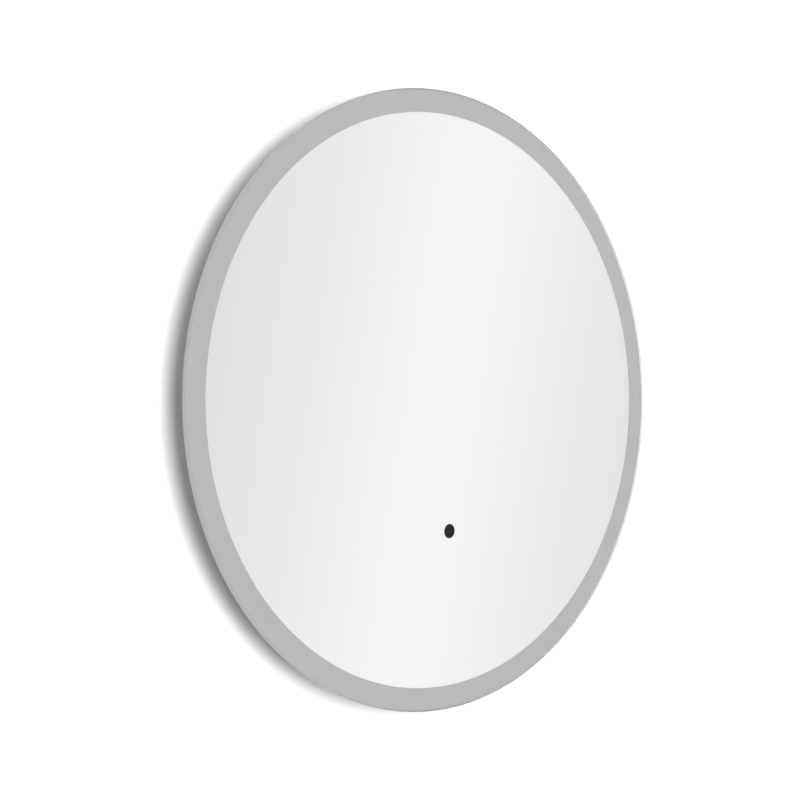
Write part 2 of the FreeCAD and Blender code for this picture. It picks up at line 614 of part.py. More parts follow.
def wiring_bay():
    """A moulded box with a flange behind the plate. A fixed bridge with the cable entry closes one
    end, two hinge knuckles stand above the opening, and two rails hold the terminal block."""
    body = bay_body("wiring_bay")
    outer_width, outer_height = "(bay_width + 2 * bay_wall)", "(bay_height + 2 * bay_wall)"
    pad(body, "front", FLANGE_BACK, "bay_flange",
        box("0", "0", outer_width + " + 2 * bay_margin", outer_height + " + 2 * bay_margin"))
    soften(body, "Fillet", "bay_corner * 1.5", lambda edge: along(edge, 1))
    pad(body, "front", PLATE_BACK, "bay_depth + bay_floor", box("0", "0", outer_width, outer_height))
    soften(body, "Fillet", "bay_corner", lambda edge: along(edge, 1) and at_corner(
        edge, outer_width + " / 2", outer_height + " / 2"))
    soften(body, "Chamfer", "bay_floor / 2", lambda edge: near(
        edge.CenterOfMass.y, minus(BAY_BOTTOM + " + bay_floor")))
    cut(body, "front", PLATE_BACK, "bay_depth", box("0", "0", "bay_width", "bay_height"))
    soften(body, "Fillet", "bay_corner - bay_wall", lambda edge: along(edge, 1) and at_corner(
        edge, "bay_width / 2", "bay_height / 2"))
    cut(body, "front", FLANGE_BACK, "bay_flange",
        box("bridge_width / 2", "0", OPENING_WIDTH, "bay_height"),
        circle(INLET_X, "0", "inlet_radius + inlet_play"),
        circle(LID_MIDDLE, LID_SCREW, "lid_screw_radius + lid_screw_play"),
        *[circle(x, z, "screw_radius + screw_play") for x, z in BAY_SCREWS])
    cut(body, "side", "bay_width / 2 - bay_wall / 2", "bay_wall * 2",
        circle(minus(POLE_DEPTH), LEAD_LEVEL, "mains_lead_radius + lead_play"),
        circle(minus(POLE_DEPTH), "-pole_pitch", "earth_lead_radius + lead_play"))
    for side in ("-", "+"):
        pad(body, "front", BAY_BOTTOM + " - block_rail_height", "block_rail_height",
            box(f"block_across {side} (block_width / 2 + insert_play + block_rail / 2)", "0",
                "block_rail", "2 * pole_pitch"))
    for start in (LID_LEFT, LID_RIGHT + " - knuckle_length"):
        knuckle(body, start, "knuckle_length", toward_flange=True)
    cut(body, "side", LID_LEFT, f"{LID_RIGHT} - {LID_LEFT}",
        circle(minus(HINGE_DEPTH), HINGE_LEVEL, "pin_radius + pin_press"))


def knuckle(body, start, length, toward_flange):
    """A hinge barrel with a stem as wide as itself, either towards the flange or down to the lid."""
    if toward_flange:
        stem = f"({FLANGE_BACK} + bay_flange / 2 - {HINGE_DEPTH})"
        outline = box(minus(f"{HINGE_DEPTH} + {stem} / 2"), HINGE_LEVEL, stem, "2 * knuckle_radius")
    else:
        stem = "hinge_back + lid_overlap / 2"
        outline = box(minus(HINGE_DEPTH), f"{HINGE_LEVEL} - ({stem}) / 2", "2 * knuckle_radius", stem)
    pad(body, "side", start, length, circle(minus(HINGE_DEPTH), HINGE_LEVEL, "knuckle_radius"))
    pad(body, "side", start, length, outline)


def bay_lid():
    """The lid lies on the flange behind the opening. Its rim drops inside, its barrel turns on the
    pin, and a tail with the screw closes it."""
    body = bay_body("bay_lid")
    middle_z = f"(({LID_TOP} + {LID_FOOT}) / 2)"
    pad(body, "front", LID_BACK, "lid_thickness",
        box(LID_MIDDLE, middle_z, f"{LID_RIGHT} - {LID_LEFT}", f"{LID_TOP} - {LID_FOOT}"))
    soften(body, "Fillet", "bay_corner * 0.8", lambda edge: along(edge, 1))
    soften(body, "Chamfer", "lid_thickness / 4", lambda edge: near(edge.CenterOfMass.y, minus(LID_BACK)))
    rim_width, rim_height = f"({OPENING_WIDTH} - 2 * lid_rim_play)", "(bay_height - 2 * lid_rim_play)"
    depth = "lid_play + lid_rim_depth"
    pad(body, "front", LID_FRONT, depth, box(LID_MIDDLE, "0", rim_width, rim_height),
        box(LID_MIDDLE, "0", rim_width + " - 2 * lid_rim", rim_height + " - 2 * lid_rim"))
    soften(body, "Fillet", "bay_corner - bay_wall", lambda edge: along(edge, 1) and near(
        abs(edge.CenterOfMass.z), rim_height + " / 2"))
    knuckle(body, LID_LEFT + " + knuckle_length + knuckle_play",
            f"{LID_RIGHT} - {LID_LEFT} - 2 * knuckle_length - 2 * knuckle_play", toward_flange=False)
    cut(body, "side", LID_LEFT, f"{LID_RIGHT} - {LID_LEFT}",
        circle(minus(HINGE_DEPTH), HINGE_LEVEL, "pin_radius + pin_running"))
    cut(body, "front", LID_BACK, "lid_thickness",
        circle(LID_MIDDLE, LID_SCREW, "lid_screw_radius + screw_play"))


def lid_pin():
    body = bay_body("lid_pin")
    pad(body, "side", LID_LEFT, f"{LID_RIGHT} - {LID_LEFT}",
        circle(minus(HINGE_DEPTH), HINGE_LEVEL, "pin_radius"))


def lid_screw():
    body = bay_body("lid_screw")
    headed(body, [(LID_MIDDLE, LID_SCREW)], LID_BACK + " - screw_head_height", "screw_head_radius",
           "screw_head_height", "lid_screw_radius", "lid_thickness + lid_screw_reach")


def cable_grommet():
    """The rubber ring in the bridge that the supply cable will come through."""
    body = new_body("cable_grommet", f"-bay_left + {INLET_X}", "bay_up - hang_drop")
    back, front, collar = FLANGE_BACK, PLATE_BACK, "inlet_collar_thickness"
    turn(body, [
        ("inlet_bore", f"{back} - {collar}"), (f"inlet_collar - {collar}", f"{back} - {collar}"),
        ("inlet_collar", back), ("inlet_radius", back), ("inlet_radius", f"{front} + {collar}"),
        ("inlet_bore", f"{front} + {collar}"),
    ])


def terminal_block():
    """Three poles in a nylon body: a wire goes in at each side and a screw holds it from behind."""
    body = bay_body("terminal_block")
    start, entry = BAY_BOTTOM + " - block_depth", "2 * entry_radius + 2 * insert_play"
    pad(body, "front", start, "block_depth",
        box("block_across", "0", "block_width", "3 * pole_pitch + block_rail"))
    cut(body, "front", start, "block_depth / 4",
        *[box("block_across", z, "block_width", "block_rail / 2") for z in POLE_GAPS])
    cut(body, "front", start, "block_depth / 2",
        *[circle(x, z, "screw_radius + insert_play") for x in TERMINAL_SCREWS for z in POLES])
    cut(body, "side", "block_across - block_width / 2", "block_width",
        *[box(minus(POLE_DEPTH), z, entry, entry) for z in POLES])


def terminal_inserts():
    """Square brass tubes in the block's poles, with a blind seat for each clamping screw."""
    body = bay_body("terminal_inserts")
    pad(body, "side", "block_across - block_width / 2 + insert_inset", "block_width - 2 * insert_inset",
        *[box(minus(POLE_DEPTH), z, "2 * entry_radius", "2 * entry_radius") for z in POLES])
    cut(body, "side", "block_across - block_width / 2", "block_width",
        *[circle(minus(POLE_DEPTH), z, "insert_bore") for z in POLES])
    cut(body, "front", POLE_DEPTH + " - entry_radius", "(entry_radius - insert_bore) / 2",
        *[circle(x, z, "screw_radius + screw_play / 2") for x in TERMINAL_SCREWS for z in POLES])


def terminal_screws():
    """Each screw's tip stands in the seat of its brass tube."""
    body = bay_body("terminal_screws")
    tip = f"({POLE_DEPTH} - entry_radius + (entry_radius - insert_bore) / 2)"
    pad(body, "front", f"{tip} - terminal_screw_length", "terminal_screw_length",
        *[circle(x, z, "screw_radius") for x in TERMINAL_SCREWS for z in POLES])


# ---------------------------------------------------------------- lamp driver

DRIVER_FLOOR = "(wall_gap + plate_thickness + driver_wall)"
DRIVER_LEAD_DEPTH = "(wall_gap + plate_thickness + driver_depth / 2)"
DRIVER_RIM = "(wall_gap + plate_thickness + driver_depth)"


def driver_case():
    """A tub screwed down by two ears, with posts inside for the board and a hole at each end."""
    body = driver_body("driver_case")
    pad(body, "front", PLATE_FRONT, "driver_depth", box("0", "0", "driver_width", "driver_height"))
    soften(body, "Fillet", "driver_round", lambda edge: along(edge, 1))
    inner_width, inner_height = "(driver_width - 2 * driver_wall)", "(driver_height - 2 * driver_wall)"
    cut(body, "front", DRIVER_FLOOR, "driver_depth", box("0", "0", inner_width, inner_height))
    root = f"({EAR_ACROSS} - driver_wall / 4)"
    ears = [(root, "-ear_up"), (minus(root), "ear_up")]
    pad(body, "front", PLATE_FRONT, "ear_thickness",
        *[box(x, z, "ear_length + driver_wall / 2", "ear_width") for x, z in ears])
    posts = [box(f"{sx}({inner_width} / 2 - 4 * post_radius)", f"{sz}({inner_height} / 2 - 2 * post_radius)",
                 "2 * post_radius", "2 * post_radius") for sx in ("", "-") for sz in ("", "-")]
    pad(body, "front", DRIVER_FLOOR, "post_height", *posts)
    cut(body, "front", PLATE_FRONT, "ear_thickness",
        *[circle(x, z, "driver_screw_radius + screw_play") for x, z in DRIVER_SCREWS])
    cut(body, "side", "-driver_width / 2", "driver_wall",
        circle(minus(DRIVER_LEAD_DEPTH), "0", "mains_lead_radius + lead_play"))
    cut(body, "side", "driver_width / 2 - driver_wall", "driver_wall",
        circle(minus(DRIVER_LEAD_DEPTH), "0", "low_lead_radius + lead_play"))


def driver_cover():
    """The snap-on cover, with a rim that fits inside the tub."""
    body = driver_body("driver_cover")
    pad(body, "front", DRIVER_RIM, "driver_lid", box("0", "0", "driver_width", "driver_height"))
    soften(body, "Fillet", "driver_round", lambda edge: along(edge, 1))
    width = "(driver_width - 2 * driver_wall - 2 * splice_play)"
    height = "(driver_height - 2 * driver_wall - 2 * splice_play)"
    pad(body, "front", DRIVER_RIM + " - driver_lid", "driver_lid", box("0", "0", width, height),
        box("0", "0", width + " - 2 * driver_wall", height + " - 2 * driver_wall"))


BOARD_BACK = "(wall_gap + plate_thickness + driver_wall + post_height)"
BOARD_FRONT = "(wall_gap + plate_thickness + driver_wall + post_height + board_thickness)"


def driver_board():
    body = driver_body("driver_board")
    width = "driver_width - 2 * driver_wall - 2 * board_play"
    height = "driver_height - 2 * driver_wall - board_play"
    pad(body, "front", BOARD_BACK, "board_thickness", box("0", "0", width, height))


def driver_parts():
    """The parts that stand on the board: transformer, filter coil, four capacitors and a heat sink."""
    body = driver_body("driver_parts")
    room = f"({DRIVER_RIM} - driver_lid - {BOARD_FRONT} - board_play / 2)"
    pad(body, "front", BOARD_FRONT, room, box("0", "0", "driver_width * 0.17", "driver_height * 0.5"),
        box("driver_width * 0.17", "driver_height * 0.22", "driver_width * 0.1", "driver_height * 0.06"))
    pad(body, "front", BOARD_FRONT, room + " * 0.8",
        circle("-driver_width * 0.2", "0", "driver_height * 0.17"),
        circle("-driver_width * 0.34", "driver_height * 0.18", "driver_height * 0.11"),
        circle("-driver_width * 0.34", "-driver_height * 0.18", "driver_height * 0.11"),
        circle("driver_width * 0.26", "-driver_height * 0.12", "driver_height * 0.13"),
        circle("driver_width * 0.38", "-driver_height * 0.12", "driver_height * 0.13"))


# ---------------------------------------------------------------- touchless switch

SENSOR_FRONT = "(wall_gap + plate_thickness + frame_depth + tape_thickness - sensor_tape)"
SENSOR_BACK = f"({SENSOR_FRONT} - sensor_depth)"
CAP_FRONT = f"({SENSOR_BACK} + sensor_cap)"
SENSOR_LEAD_DEPTH = f"({CAP_FRONT} + low_lead_radius + lead_play + lead_rest)"
SENSOR_BOARD_BACK = f"({SENSOR_LEAD_DEPTH} + low_lead_radius + lead_rest)"


def sensor_window():
    """The dark dot: a smoked lens that fills the gap in the silvering and is bonded behind it."""
    body = sensor_body("sensor_window")
    pad(body, "front", COATING_BACK, "coating_thickness",
        circle("0", "0", "sensor_hole_radius - window_play"))
    pad(body, "front", COATING_BACK + " - window_thickness", "window_thickness",
        box("0", "0", "window_flange", "window_flange"))


def sensor_tape():
    body = sensor_body("sensor_tape")
    pad(body, "front", SENSOR_FRONT, "sensor_tape",
        box("0", "0", "sensor_width - sensor_corner", "sensor_height - sensor_corner"),
        box("0", "0", "window_flange + 2 * window_play", "window_flange + 2 * window_play"))


def sensor_case():
    """A moulded tub, open towards the wall, that is stuck to the silvering round the lens."""
    body = sensor_body("sensor_case")
    pad(body, "front", CAP_FRONT, f"{SENSOR_FRONT} - {CAP_FRONT}",
        box("0", "0", "sensor_width", "sensor_height"))
    soften(body, "Fillet", "sensor_corner", lambda edge: along(edge, 1))
    cut(body, "front", CAP_FRONT, f"{SENSOR_FRONT} - {CAP_FRONT} - sensor_wall",
        box("0", "0", "sensor_width - 2 * sensor_wall", "sensor_height - 2 * sensor_wall"))
    cut(body, "front", SENSOR_FRONT + " - sensor_wall", "sensor_wall",
        box("0", "0", "window_flange + 2 * window_play", "window_flange + 2 * window_play"))
    hole = "low_lead_radius + lead_play"
    cut(body, "side", "0", "sensor_width", circle(minus(SENSOR_LEAD_DEPTH), "0", hole))
    cut(body, "top", "-sensor_height", "sensor_height", circle("0", minus(SENSOR_LEAD_DEPTH), hole))


def sensor_cap():
    """The cap that closes the tub. Four posts on it carry the board, clear of the leads."""
    body = sensor_body("sensor_cap")
    pad(body, "front", SENSOR_BACK, "sensor_cap", box("0", "0", "sensor_width", "sensor_height"))
    soften(body, "Fillet", "sensor_corner", lambda edge: along(edge, 1))
    across = "(sensor_width / 2 - 2 * sensor_wall - sensor_play)"
    up = "(sensor_height / 2 - 2 * sensor_wall - sensor_play)"
    corners = [(sx + across, sz + up) for sx in ("", "-") for sz in ("", "-")]
    pad(body, "front", CAP_FRONT, f"{SENSOR_BOARD_BACK} - {CAP_FRONT}",
        *[box(x, z, "2 * sensor_wall", "2 * sensor_wall") for x, z in corners])


def sensor_board():
    body = sensor_body("sensor_board")
    inset = "2 * sensor_wall - 2 * sensor_play"
    pad(body, "front", SENSOR_BOARD_BACK, "sensor_board",
        box("0", "0", "sensor_width - " + inset, "sensor_height - " + inset))


def sensor_eyes():
    """The sender and the receiver that look out through the lens."""
    body = sensor_body("sensor_eyes")
    back = f"({SENSOR_BOARD_BACK} + sensor_board)"
    pad(body, "front", back, f"{COATING_BACK} - window_thickness - {back} - lead_rest",
        circle("eye_across", "0", "eye_radius"), circle("-eye_across", "0", "eye_radius"))


# ---------------------------------------------------------------- leads inside the casing


def new_shape(label, shape):
    feature = doc.addObject("Part::Feature", label)
    feature.Label = label
    feature.Shape = shape
    pieces.append(feature)
    return feature


def tube(route, radius, name):
    """A lead with eight flat sides along the route: straight runs joined by tangent arcs, each arc
    as large as the shorter of its two runs allows."""
    points = [FreeCAD.Vector(x, -depth, z - size("hang_drop")) for x, depth, z in route]
    edges, start, bends = [], points[0], []
    for before, corner, after in zip(points, points[1:], points[2:]):
        arriving, leaving = corner - before, after - corner
        half = arriving.getAngle(leaving) / 2
        reach = 0.45 * min(arriving.Length, leaving.Length)
        bend = reach / math.tan(half)
        bends.append(bend)
        arriving.normalize()
        leaving.normalize()
        first, last = corner - arriving * reach, corner + leaving * reach
        inward = (leaving - arriving).normalize()
        middle = corner + inward * (bend / math.cos(half) - bend)
        edges += [Part.LineSegment(start, first).toShape(), Part.Arc(first, middle, last).toShape()]
        start = last
    edges.append(Part.LineSegment(start, points[-1]).toShape())
    path = Part.Wire(edges)
    ahead = (points[1] - points[0]).normalize()
    aside = ahead.cross(FreeCAD.Vector(0, 1, 0)).normalize()
    ring = [points[0] + FreeCAD.Rotation(ahead, 22.5 + 45 * n).multVec(aside) * radius for n in range(8)]
    section = Part.makePolygon(ring + ring[:1])
    solid = path.makePipeShell([section], True, False)
    expected = 2 * math.sqrt(2) * radius**2 * path.Length
    if abs(solid.Volume - expected) > 0.01 * expected:
        raise RuntimeError(name + " is not its section times its length")
    print("%s length %.0f mm" % (name, path.Length))
    if bends:
        print("    tightest bend %.0f mm, %.1f diameters" % (min(bends), min(bends) / radius / 2))
    return solid


def driver_lead():
    """From the terminal block's side of the bay, through its wall, to the driver."""
    radius = size("mains_lead_radius")
    level, depth = size("bay_up + " + LEAD_LEVEL), size(POLE_DEPTH)
    inside = size("-bay_left + bay_width / 2 - sheath_end")
    wall = size("-bay_left + bay_width / 2 + bay_wall")
    end, end_level = size("driver_right - driver_width / 2 + driver_wall"), size("bay_up")
    end_depth = size(DRIVER_LEAD_DEPTH)
    span = end - wall
    route = [(inside, depth, level), (wall + 0.25 * span, depth, level),
             (end - 0.35 * span, end_depth, end_level), (end, end_depth, end_level)]
    new_shape("driver_lead", tube(route, radius, "driver_lead"))


def bay_cores():
    """The two cores between the end of the sheath and their poles."""
    depth, level = size(POLE_DEPTH), size("bay_up + " + LEAD_LEVEL)
    start = size("-bay_left + bay_width / 2 - sheath_end - lead_rest")
    end = size("-bay_left + block_across + block_width / 2 - insert_inset + lead_rest")
    cores = []
    for side in (1, -1):
        first = level + side * size("core_radius + lead_play")
        last = level + side * size(LEAD_LEVEL)
        cores.append(tube([(start, depth, first), (end, depth, last)], size("core_radius"), "bay_core"))
    new_shape("bay_cores", Part.makeCompound(cores))


def sensor_lead():
    """From the driver's far end round to the sensor. It lies on the back plate between two clips."""
    radius = size("low_lead_radius")
    flat = size(PLATE_FRONT + " + low_lead_radius + lead_rest")
    start = size("driver_right + driver_width / 2 - driver_wall")
    level, drop = size("bay_up"), size("sensor_drop")
    depth, end_depth = size(DRIVER_LEAD_DEPTH), size(SENSOR_LEAD_DEPTH)
    end = size("sensor_width / 2 - sensor_wall + lead_play")
    route = [(start, depth, level), (start + 14, depth, level), (start + 38, flat, level - 16),
             (start + 46, flat, level - 52), (start + 26, flat, level - 90), (start - 14, flat, -drop + 14),
             (start - 62, flat, -drop + 3), (end + 32, end_depth - 3, -drop), (end + 10, end_depth, -drop),
             (end, end_depth, -drop)]
    new_shape("sensor_lead", tube(route, radius, "sensor_lead"))


def strip_lead():
    """From the sensor down through the hoop's wall to the strip's connector."""
    radius = size("low_lead_radius")
    start = -size("sensor_drop + sensor_height / 2 - sensor_wall + lead_play")
    foot = -size(STRIP_RADIUS)
    depth, end_depth = size(SENSOR_LEAD_DEPTH), size(STRIP_MIDDLE)
    flat = size(PLATE_FRONT + " + low_lead_radius + lead_rest")
    run = start - foot
    aside = size("clip_across")
    route = [(0, depth, start), (0, depth, start - 0.08 * run), (aside, flat, start - 0.32 * run),
             (aside, flat, start - 0.62 * run), (0, end_depth, start - 0.86 * run), (0, end_depth, foot)]
    new_shape("strip_lead", tube(route, radius, "strip_lead"))


def earth_lead():
    """From the third pole, through the bay's wall, to the earth stud on the plate."""
    radius = size("earth_lead_radius")
    level, depth = size("bay_up - pole_pitch"), size(POLE_DEPTH)
    start = size("-bay_left + block_across + block_width / 2 - insert_inset")
    across, below = size("-earth_across"), size("-earth_below + stud_radius + tag_radius + tag_barrel_length")
    tag = size(TAG_DEPTH)
    route = [(start, depth, level), (across - 8, depth, level), (across, tag, level - 8),
             (across, tag, below)]
    new_shape("earth_lead", tube(route, radius, "earth_lead"))


def strip_lead_seal():
    """A rubber bush round the lead in the hoop's wall, with its collar inside. It is drawn along the
    depth axis and turned so that the collar faces up."""
    body = new_body("strip_lead_seal", "0", f"-{FRAME_RADIUS} + frame_wall - hang_drop")
    body.Placement = FreeCAD.Placement(body.Placement.Base, FreeCAD.Rotation(FreeCAD.Vector(1, 0, 0), -90))
    body.setExpression("Placement.Base.y", bound(minus(STRIP_MIDDLE)))
    bore = "low_lead_radius + lead_play"
    outer = bore + " + seal_wall"
    hole = circle("0", "0", bore)
    pad(body, "front", "seal_play", "seal_collar", circle("0", "0", outer + " + seal_wall"), hole)
    pad(body, "front", "-frame_wall", "frame_wall + seal_play", circle("0", "0", outer), hole)


def lead_clips():
    """A stick-on saddle that holds the strip's lead down on the plate."""
    body = new_body("lead_clips")
    centre = f"({PLATE_FRONT} + low_lead_radius + lead_rest)"
    half = "(low_lead_radius + lead_play + clip_wall)"
    top = f"({centre} + {half})"
    run = f"({STRIP_RADIUS} - sensor_drop - sensor_height / 2)"
    low = f"(-sensor_drop - sensor_height / 2 - 0.46 * {run} - clip_length / 2)"
    pad(body, "top", low, "clip_length",
        box("clip_across", minus(f"({PLATE_FRONT} + {top}) / 2"), f"2 * {half}", f"{top} - {PLATE_FRONT}"))
    room = "(low_lead_radius + lead_play)"
    cut(body, "top", low, "clip_length", circle("clip_across", minus(centre), room))
    mouth = f"({centre} - {PLATE_FRONT})"
    cut(body, "top", low, "clip_length",
        box("clip_across", minus(f"{centre} - {mouth} / 2"), f"2 * {room}", mouth))


# ---------------------------------------------------------------- earth connection

TAG_DEPTH = "(wall_gap + plate_thickness + stud_foot + tag_barrel)"


def earth_body(label):
    return new_body(label, "-earth_across", "-earth_below - hang_drop")


def earth_stud():
    body = earth_body("earth_stud")
    pad(body, "front", PLATE_FRONT, "stud_foot", circle("0", "0", "stud_foot_radius"))
    pad(body, "front", PLATE_FRONT + " + stud_foot", "stud_length", circle("0", "0", "stud_radius"))


def earth_tag():
    """A ring terminal whose crimped barrel points up to the lead."""
    body = earth_body("earth_tag")
    start = PLATE_FRONT + " + stud_foot"
    hole = "stud_radius + screw_play"
    pad(body, "front", start, "tag_thickness", circle("0", "0", "tag_radius"), circle("0", "0", hole))
    low, high = f"({hole} + tag_play)", "(stud_radius + tag_radius + tag_play)"
    pad(body, "front", start, "tag_thickness",
        box("0", f"({low} + {high}) / 2", "1.6 * tag_barrel", f"{high} - {low}"))
    pad(body, "top", "stud_radius + tag_radius", "tag_barrel_length",
        box("0", minus(TAG_DEPTH), "2 * tag_barrel", "2 * tag_barrel"))


def earth_nut():
    body = earth_body("earth_nut")
    start = PLATE_FRONT + " + stud_foot + tag_thickness"
    pad(body, "front", start, "nut_thickness", hexagon("0", "0", "nut_across"))
    cut(body, "front", start, "nut_thickness", circle("0", "0", "stud_radius + screw_play"))


# ---------------------------------------------------------------- the whole mirror

for make in (
    glass_pane, mirror_coating, bond_tape, ring_frame, frame_splice, splice_screws, led_strip, led_chips,
    strip_connector, back_plate, plate_screws, hanger_rail, hanger_rivets, wall_rail, wall_bumpers,
    wiring_bay, bay_screws, bay_lid, lid_pin, lid_screw, cable_grommet, terminal_block,
    terminal_inserts, terminal_screws, driver_case, driver_cover, driver_board, driver_parts,
    driver_screws, driver_nuts, sensor_window, sensor_tape, sensor_case, sensor_cap, sensor_board,
    sensor_eyes, driver_lead, bay_cores, sensor_lead, strip_lead, earth_lead, strip_lead_seal, lead_clips,
    earth_stud, earth_tag, earth_nut,
):
    make()
doc.recompute()

for item in doc.Objects:
    if "Invalid" in item.State or "Error" in item.State:
        raise RuntimeError(item.Label + " did not build")
for piece in pieces:
    if piece.Shape.isNull() or not piece.Shape.isValid():
        raise RuntimeError(piece.Label + " has no valid shape")
for piece in pieces:
    piece.Shape.exportStep("parts/" + piece.Label + ".step")
print(len(pieces), "pieces written")
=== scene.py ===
# %% [markdown]
# # A round lighted mirror, dressed over its CAD frame
#
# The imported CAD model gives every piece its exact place. This script makes the finer pieces and
# all the finishes: glass with a frosted band, silvering, rolled aluminium, powder coat, zinc,
# rubber and moulded plastic. All lengths are metres. X runs to the right, Y into the wall and Z
# up, and the origin is on the wall between the two screw slots of the rail.

# %% Load the frame
import math

import bpy
import numpy as np
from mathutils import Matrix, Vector


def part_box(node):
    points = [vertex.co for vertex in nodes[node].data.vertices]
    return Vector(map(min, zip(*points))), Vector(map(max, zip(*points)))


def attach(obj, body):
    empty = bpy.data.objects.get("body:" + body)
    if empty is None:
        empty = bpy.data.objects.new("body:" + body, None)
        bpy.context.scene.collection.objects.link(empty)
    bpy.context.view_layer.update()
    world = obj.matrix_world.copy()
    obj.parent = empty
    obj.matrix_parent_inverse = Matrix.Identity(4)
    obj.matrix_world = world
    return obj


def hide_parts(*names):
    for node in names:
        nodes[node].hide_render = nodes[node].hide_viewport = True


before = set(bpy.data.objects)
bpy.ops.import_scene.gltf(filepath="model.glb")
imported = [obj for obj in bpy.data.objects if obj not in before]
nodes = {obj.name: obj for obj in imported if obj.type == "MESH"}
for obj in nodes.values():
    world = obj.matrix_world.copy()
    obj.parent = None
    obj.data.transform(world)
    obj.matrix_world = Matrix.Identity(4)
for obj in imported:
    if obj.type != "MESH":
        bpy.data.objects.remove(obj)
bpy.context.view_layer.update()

# %% [markdown]
# ## Sizes that come from the frame
#
# A visual piece must sit where the CAD piece sits, so its place and main sizes are read from the
# CAD boxes. What a box can't tell, such as a wall or a layer of glue, is named where it is first
# needed. The mirror's axis runs along Y through the middle of the glass. Depth is the distance
# out from the wall, so a point at a depth of 10 mm has y = -0.010.

# %% Read the main sizes
def middle_of(node):
    """The middle of a node's box, as (x, z)."""
    low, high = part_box(node)
    return (low.x + high.x) / 2, (low.z + high.z) / 2


def depths_of(node):
    """How deep the back and the front of a node lie."""
    low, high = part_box(node)
    return -high.y, -low.y


def reach_of(node):
    """How far a node reaches to the right of the axis, which is a round one's radius."""
    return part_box(node)[1].x


axis = Vector((0, 0, middle_of("glass_pane")[1]))
hub = (axis.x, axis.z)
glass_radius, silver_radius, strip_radius = (
    reach_of(node) for node in ("glass_pane", "mirror_coating", "led_strip"))
bevel, strip_thickness, strip_glue = 0.0008, 0.0003, 0.0002
rim_start = glass_radius - bevel
frame_radius = strip_radius - strip_thickness - strip_glue
glass_back, plate_back = (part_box(node)[1].y for node in ("glass_pane", "back_plate"))
print("glass radius", round(glass_radius, 4), "silvering radius", round(silver_radius, 4))

# %% [markdown]
# ## Making a surface from two parameters
#
# Almost every piece here is a grid: one parameter runs along a profile and the other round an
# axis or along a path. numpy works out all points at once, and the mesh is filled in one call.
# Blender shades a mesh smoothly except along sharp edges. The facets of a turned pane meet at 1
# degree and the corners of its profile at far more, so a limit between them keeps both right.

# %% A grid of points becomes a mesh
CREASE, NO_CREASE = 10, 180  # degrees


def grid_faces(rows, columns, close_rows, close_columns):
    """Quads between neighbouring points of a rows x columns grid. Point (i, j) has the number
    i * columns + j, and a closed direction joins its last line to its first."""
    i = np.arange(rows if close_rows else rows - 1)
    j = np.arange(columns if close_columns else columns - 1)
    i, j = (a.ravel() for a in np.meshgrid(i, j, indexing="ij"))
    down, right = (i + 1) % rows, (j + 1) % columns
    return np.stack([i * columns + j, i * columns + right, down * columns + right, down * columns + j], 1)


def make_piece(name, points, faces, material, slot, body="mirror", replaces=(), crease=CREASE):
    """Puts points and faces into one mesh object at the origin and ties it to the CAD frame. Faces
    that meet at more than crease degrees keep a sharp edge between them."""
    mesh = bpy.data.meshes.new(name)
    mesh.from_pydata(points.tolist(), [], [tuple(face) for face in faces])
    mesh.validate()
    mesh.polygons.foreach_set("use_smooth", np.full(len(mesh.polygons), True))
    mesh.set_sharp_from_angle(angle=math.radians(crease))
    mesh.materials.append(material)
    piece = bpy.data.objects.new(name, mesh)
    bpy.context.scene.collection.objects.link(piece)
    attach(piece, body)
    if replaces:
        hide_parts(*replaces)
    print(name, "has", len(mesh.polygons), "faces")


print("an open grid of 3 x 4 points has", len(grid_faces(3, 4, False, False)), "faces")

# %% [markdown]
# ## Surfaces of revolution
#
# A pane, a hoop, a rubber foot and a rivet are all turned shapes. A profile of (radius, depth)
# pairs is carried round an axis. Where the profile reaches the axis, a whole ring of points
# falls in one place, and these are merged so that the surface is closed.

# %% Turned shapes
def round_corners(profile, radius, steps=4):
    """Replaces each corner of a closed profile by a short arc. Each arc is a quadratic curve
    between two points that lie one radius from the corner: (1-t)^2 a + 2 t (1-t) corner + t^2 b."""
    corner = np.asarray(profile, float)
    before, after = np.roll(corner, 1, 0) - corner, np.roll(corner, -1, 0) - corner
    reach_in, reach_out = np.linalg.norm(before, axis=1), np.linalg.norm(after, axis=1)
    cut = np.minimum(radius, 0.45 * np.minimum(reach_in, reach_out))
    start = corner + before * (cut / reach_in)[:, None]
    end = corner + after * (cut / reach_out)[:, None]
    t = np.linspace(0, 1, steps)[None, :, None]
    arcs = (1 - t) ** 2 * start[:, None] + 2 * t * (1 - t) * corner[:, None] + t**2 * end[:, None]
    return arcs.reshape(-1, 2)


def carried_round(profile, centre, angle):
    """A profile at every angle: x = cx + r cos a, y = -depth, z = cz + r sin a."""
    radius, depth = np.asarray(profile, float).T
    x = centre[0] + radius[:, None] * np.cos(angle)
    z = centre[1] + radius[:, None] * np.sin(angle)
    return np.stack([x, np.broadcast_to(-depth[:, None], x.shape), z], -1).reshape(-1, 3)


def turned(profile, centre, steps, closed_profile=True):
    """A profile carried once round, with its last step joined to its first."""
    angle = np.linspace(0, 2 * math.pi, steps, endpoint=False)
    return carried_round(profile, centre, angle), grid_faces(len(profile), steps, closed_profile, True)


print("a corner becomes", len(round_corners([(0, 0), (1, 0), (0, 1)], 0.1)) // 3, "points")

# %% Close and join them
def closed_poles(points, faces):
    """Merges points that fall in one place, as a turned shape's do on its axis, and drops the
    corners that a face then has twice."""
    first, number = np.unique(points.round(8), axis=0, return_index=True, return_inverse=True)[1:]
    kept = (tuple(dict.fromkeys(face)) for face in number.ravel()[faces].tolist())
    return points[first], [face for face in kept if len(face) > 2]


def joined(parts):
    """One set of points and faces from several sets."""
    points, faces, start = [], [], 0
    for some_points, some_faces in parts:
        points.append(some_points)
        faces += [tuple(number + start for number in face) for face in some_faces]
        start += len(some_points)
    return np.concatenate(points), faces


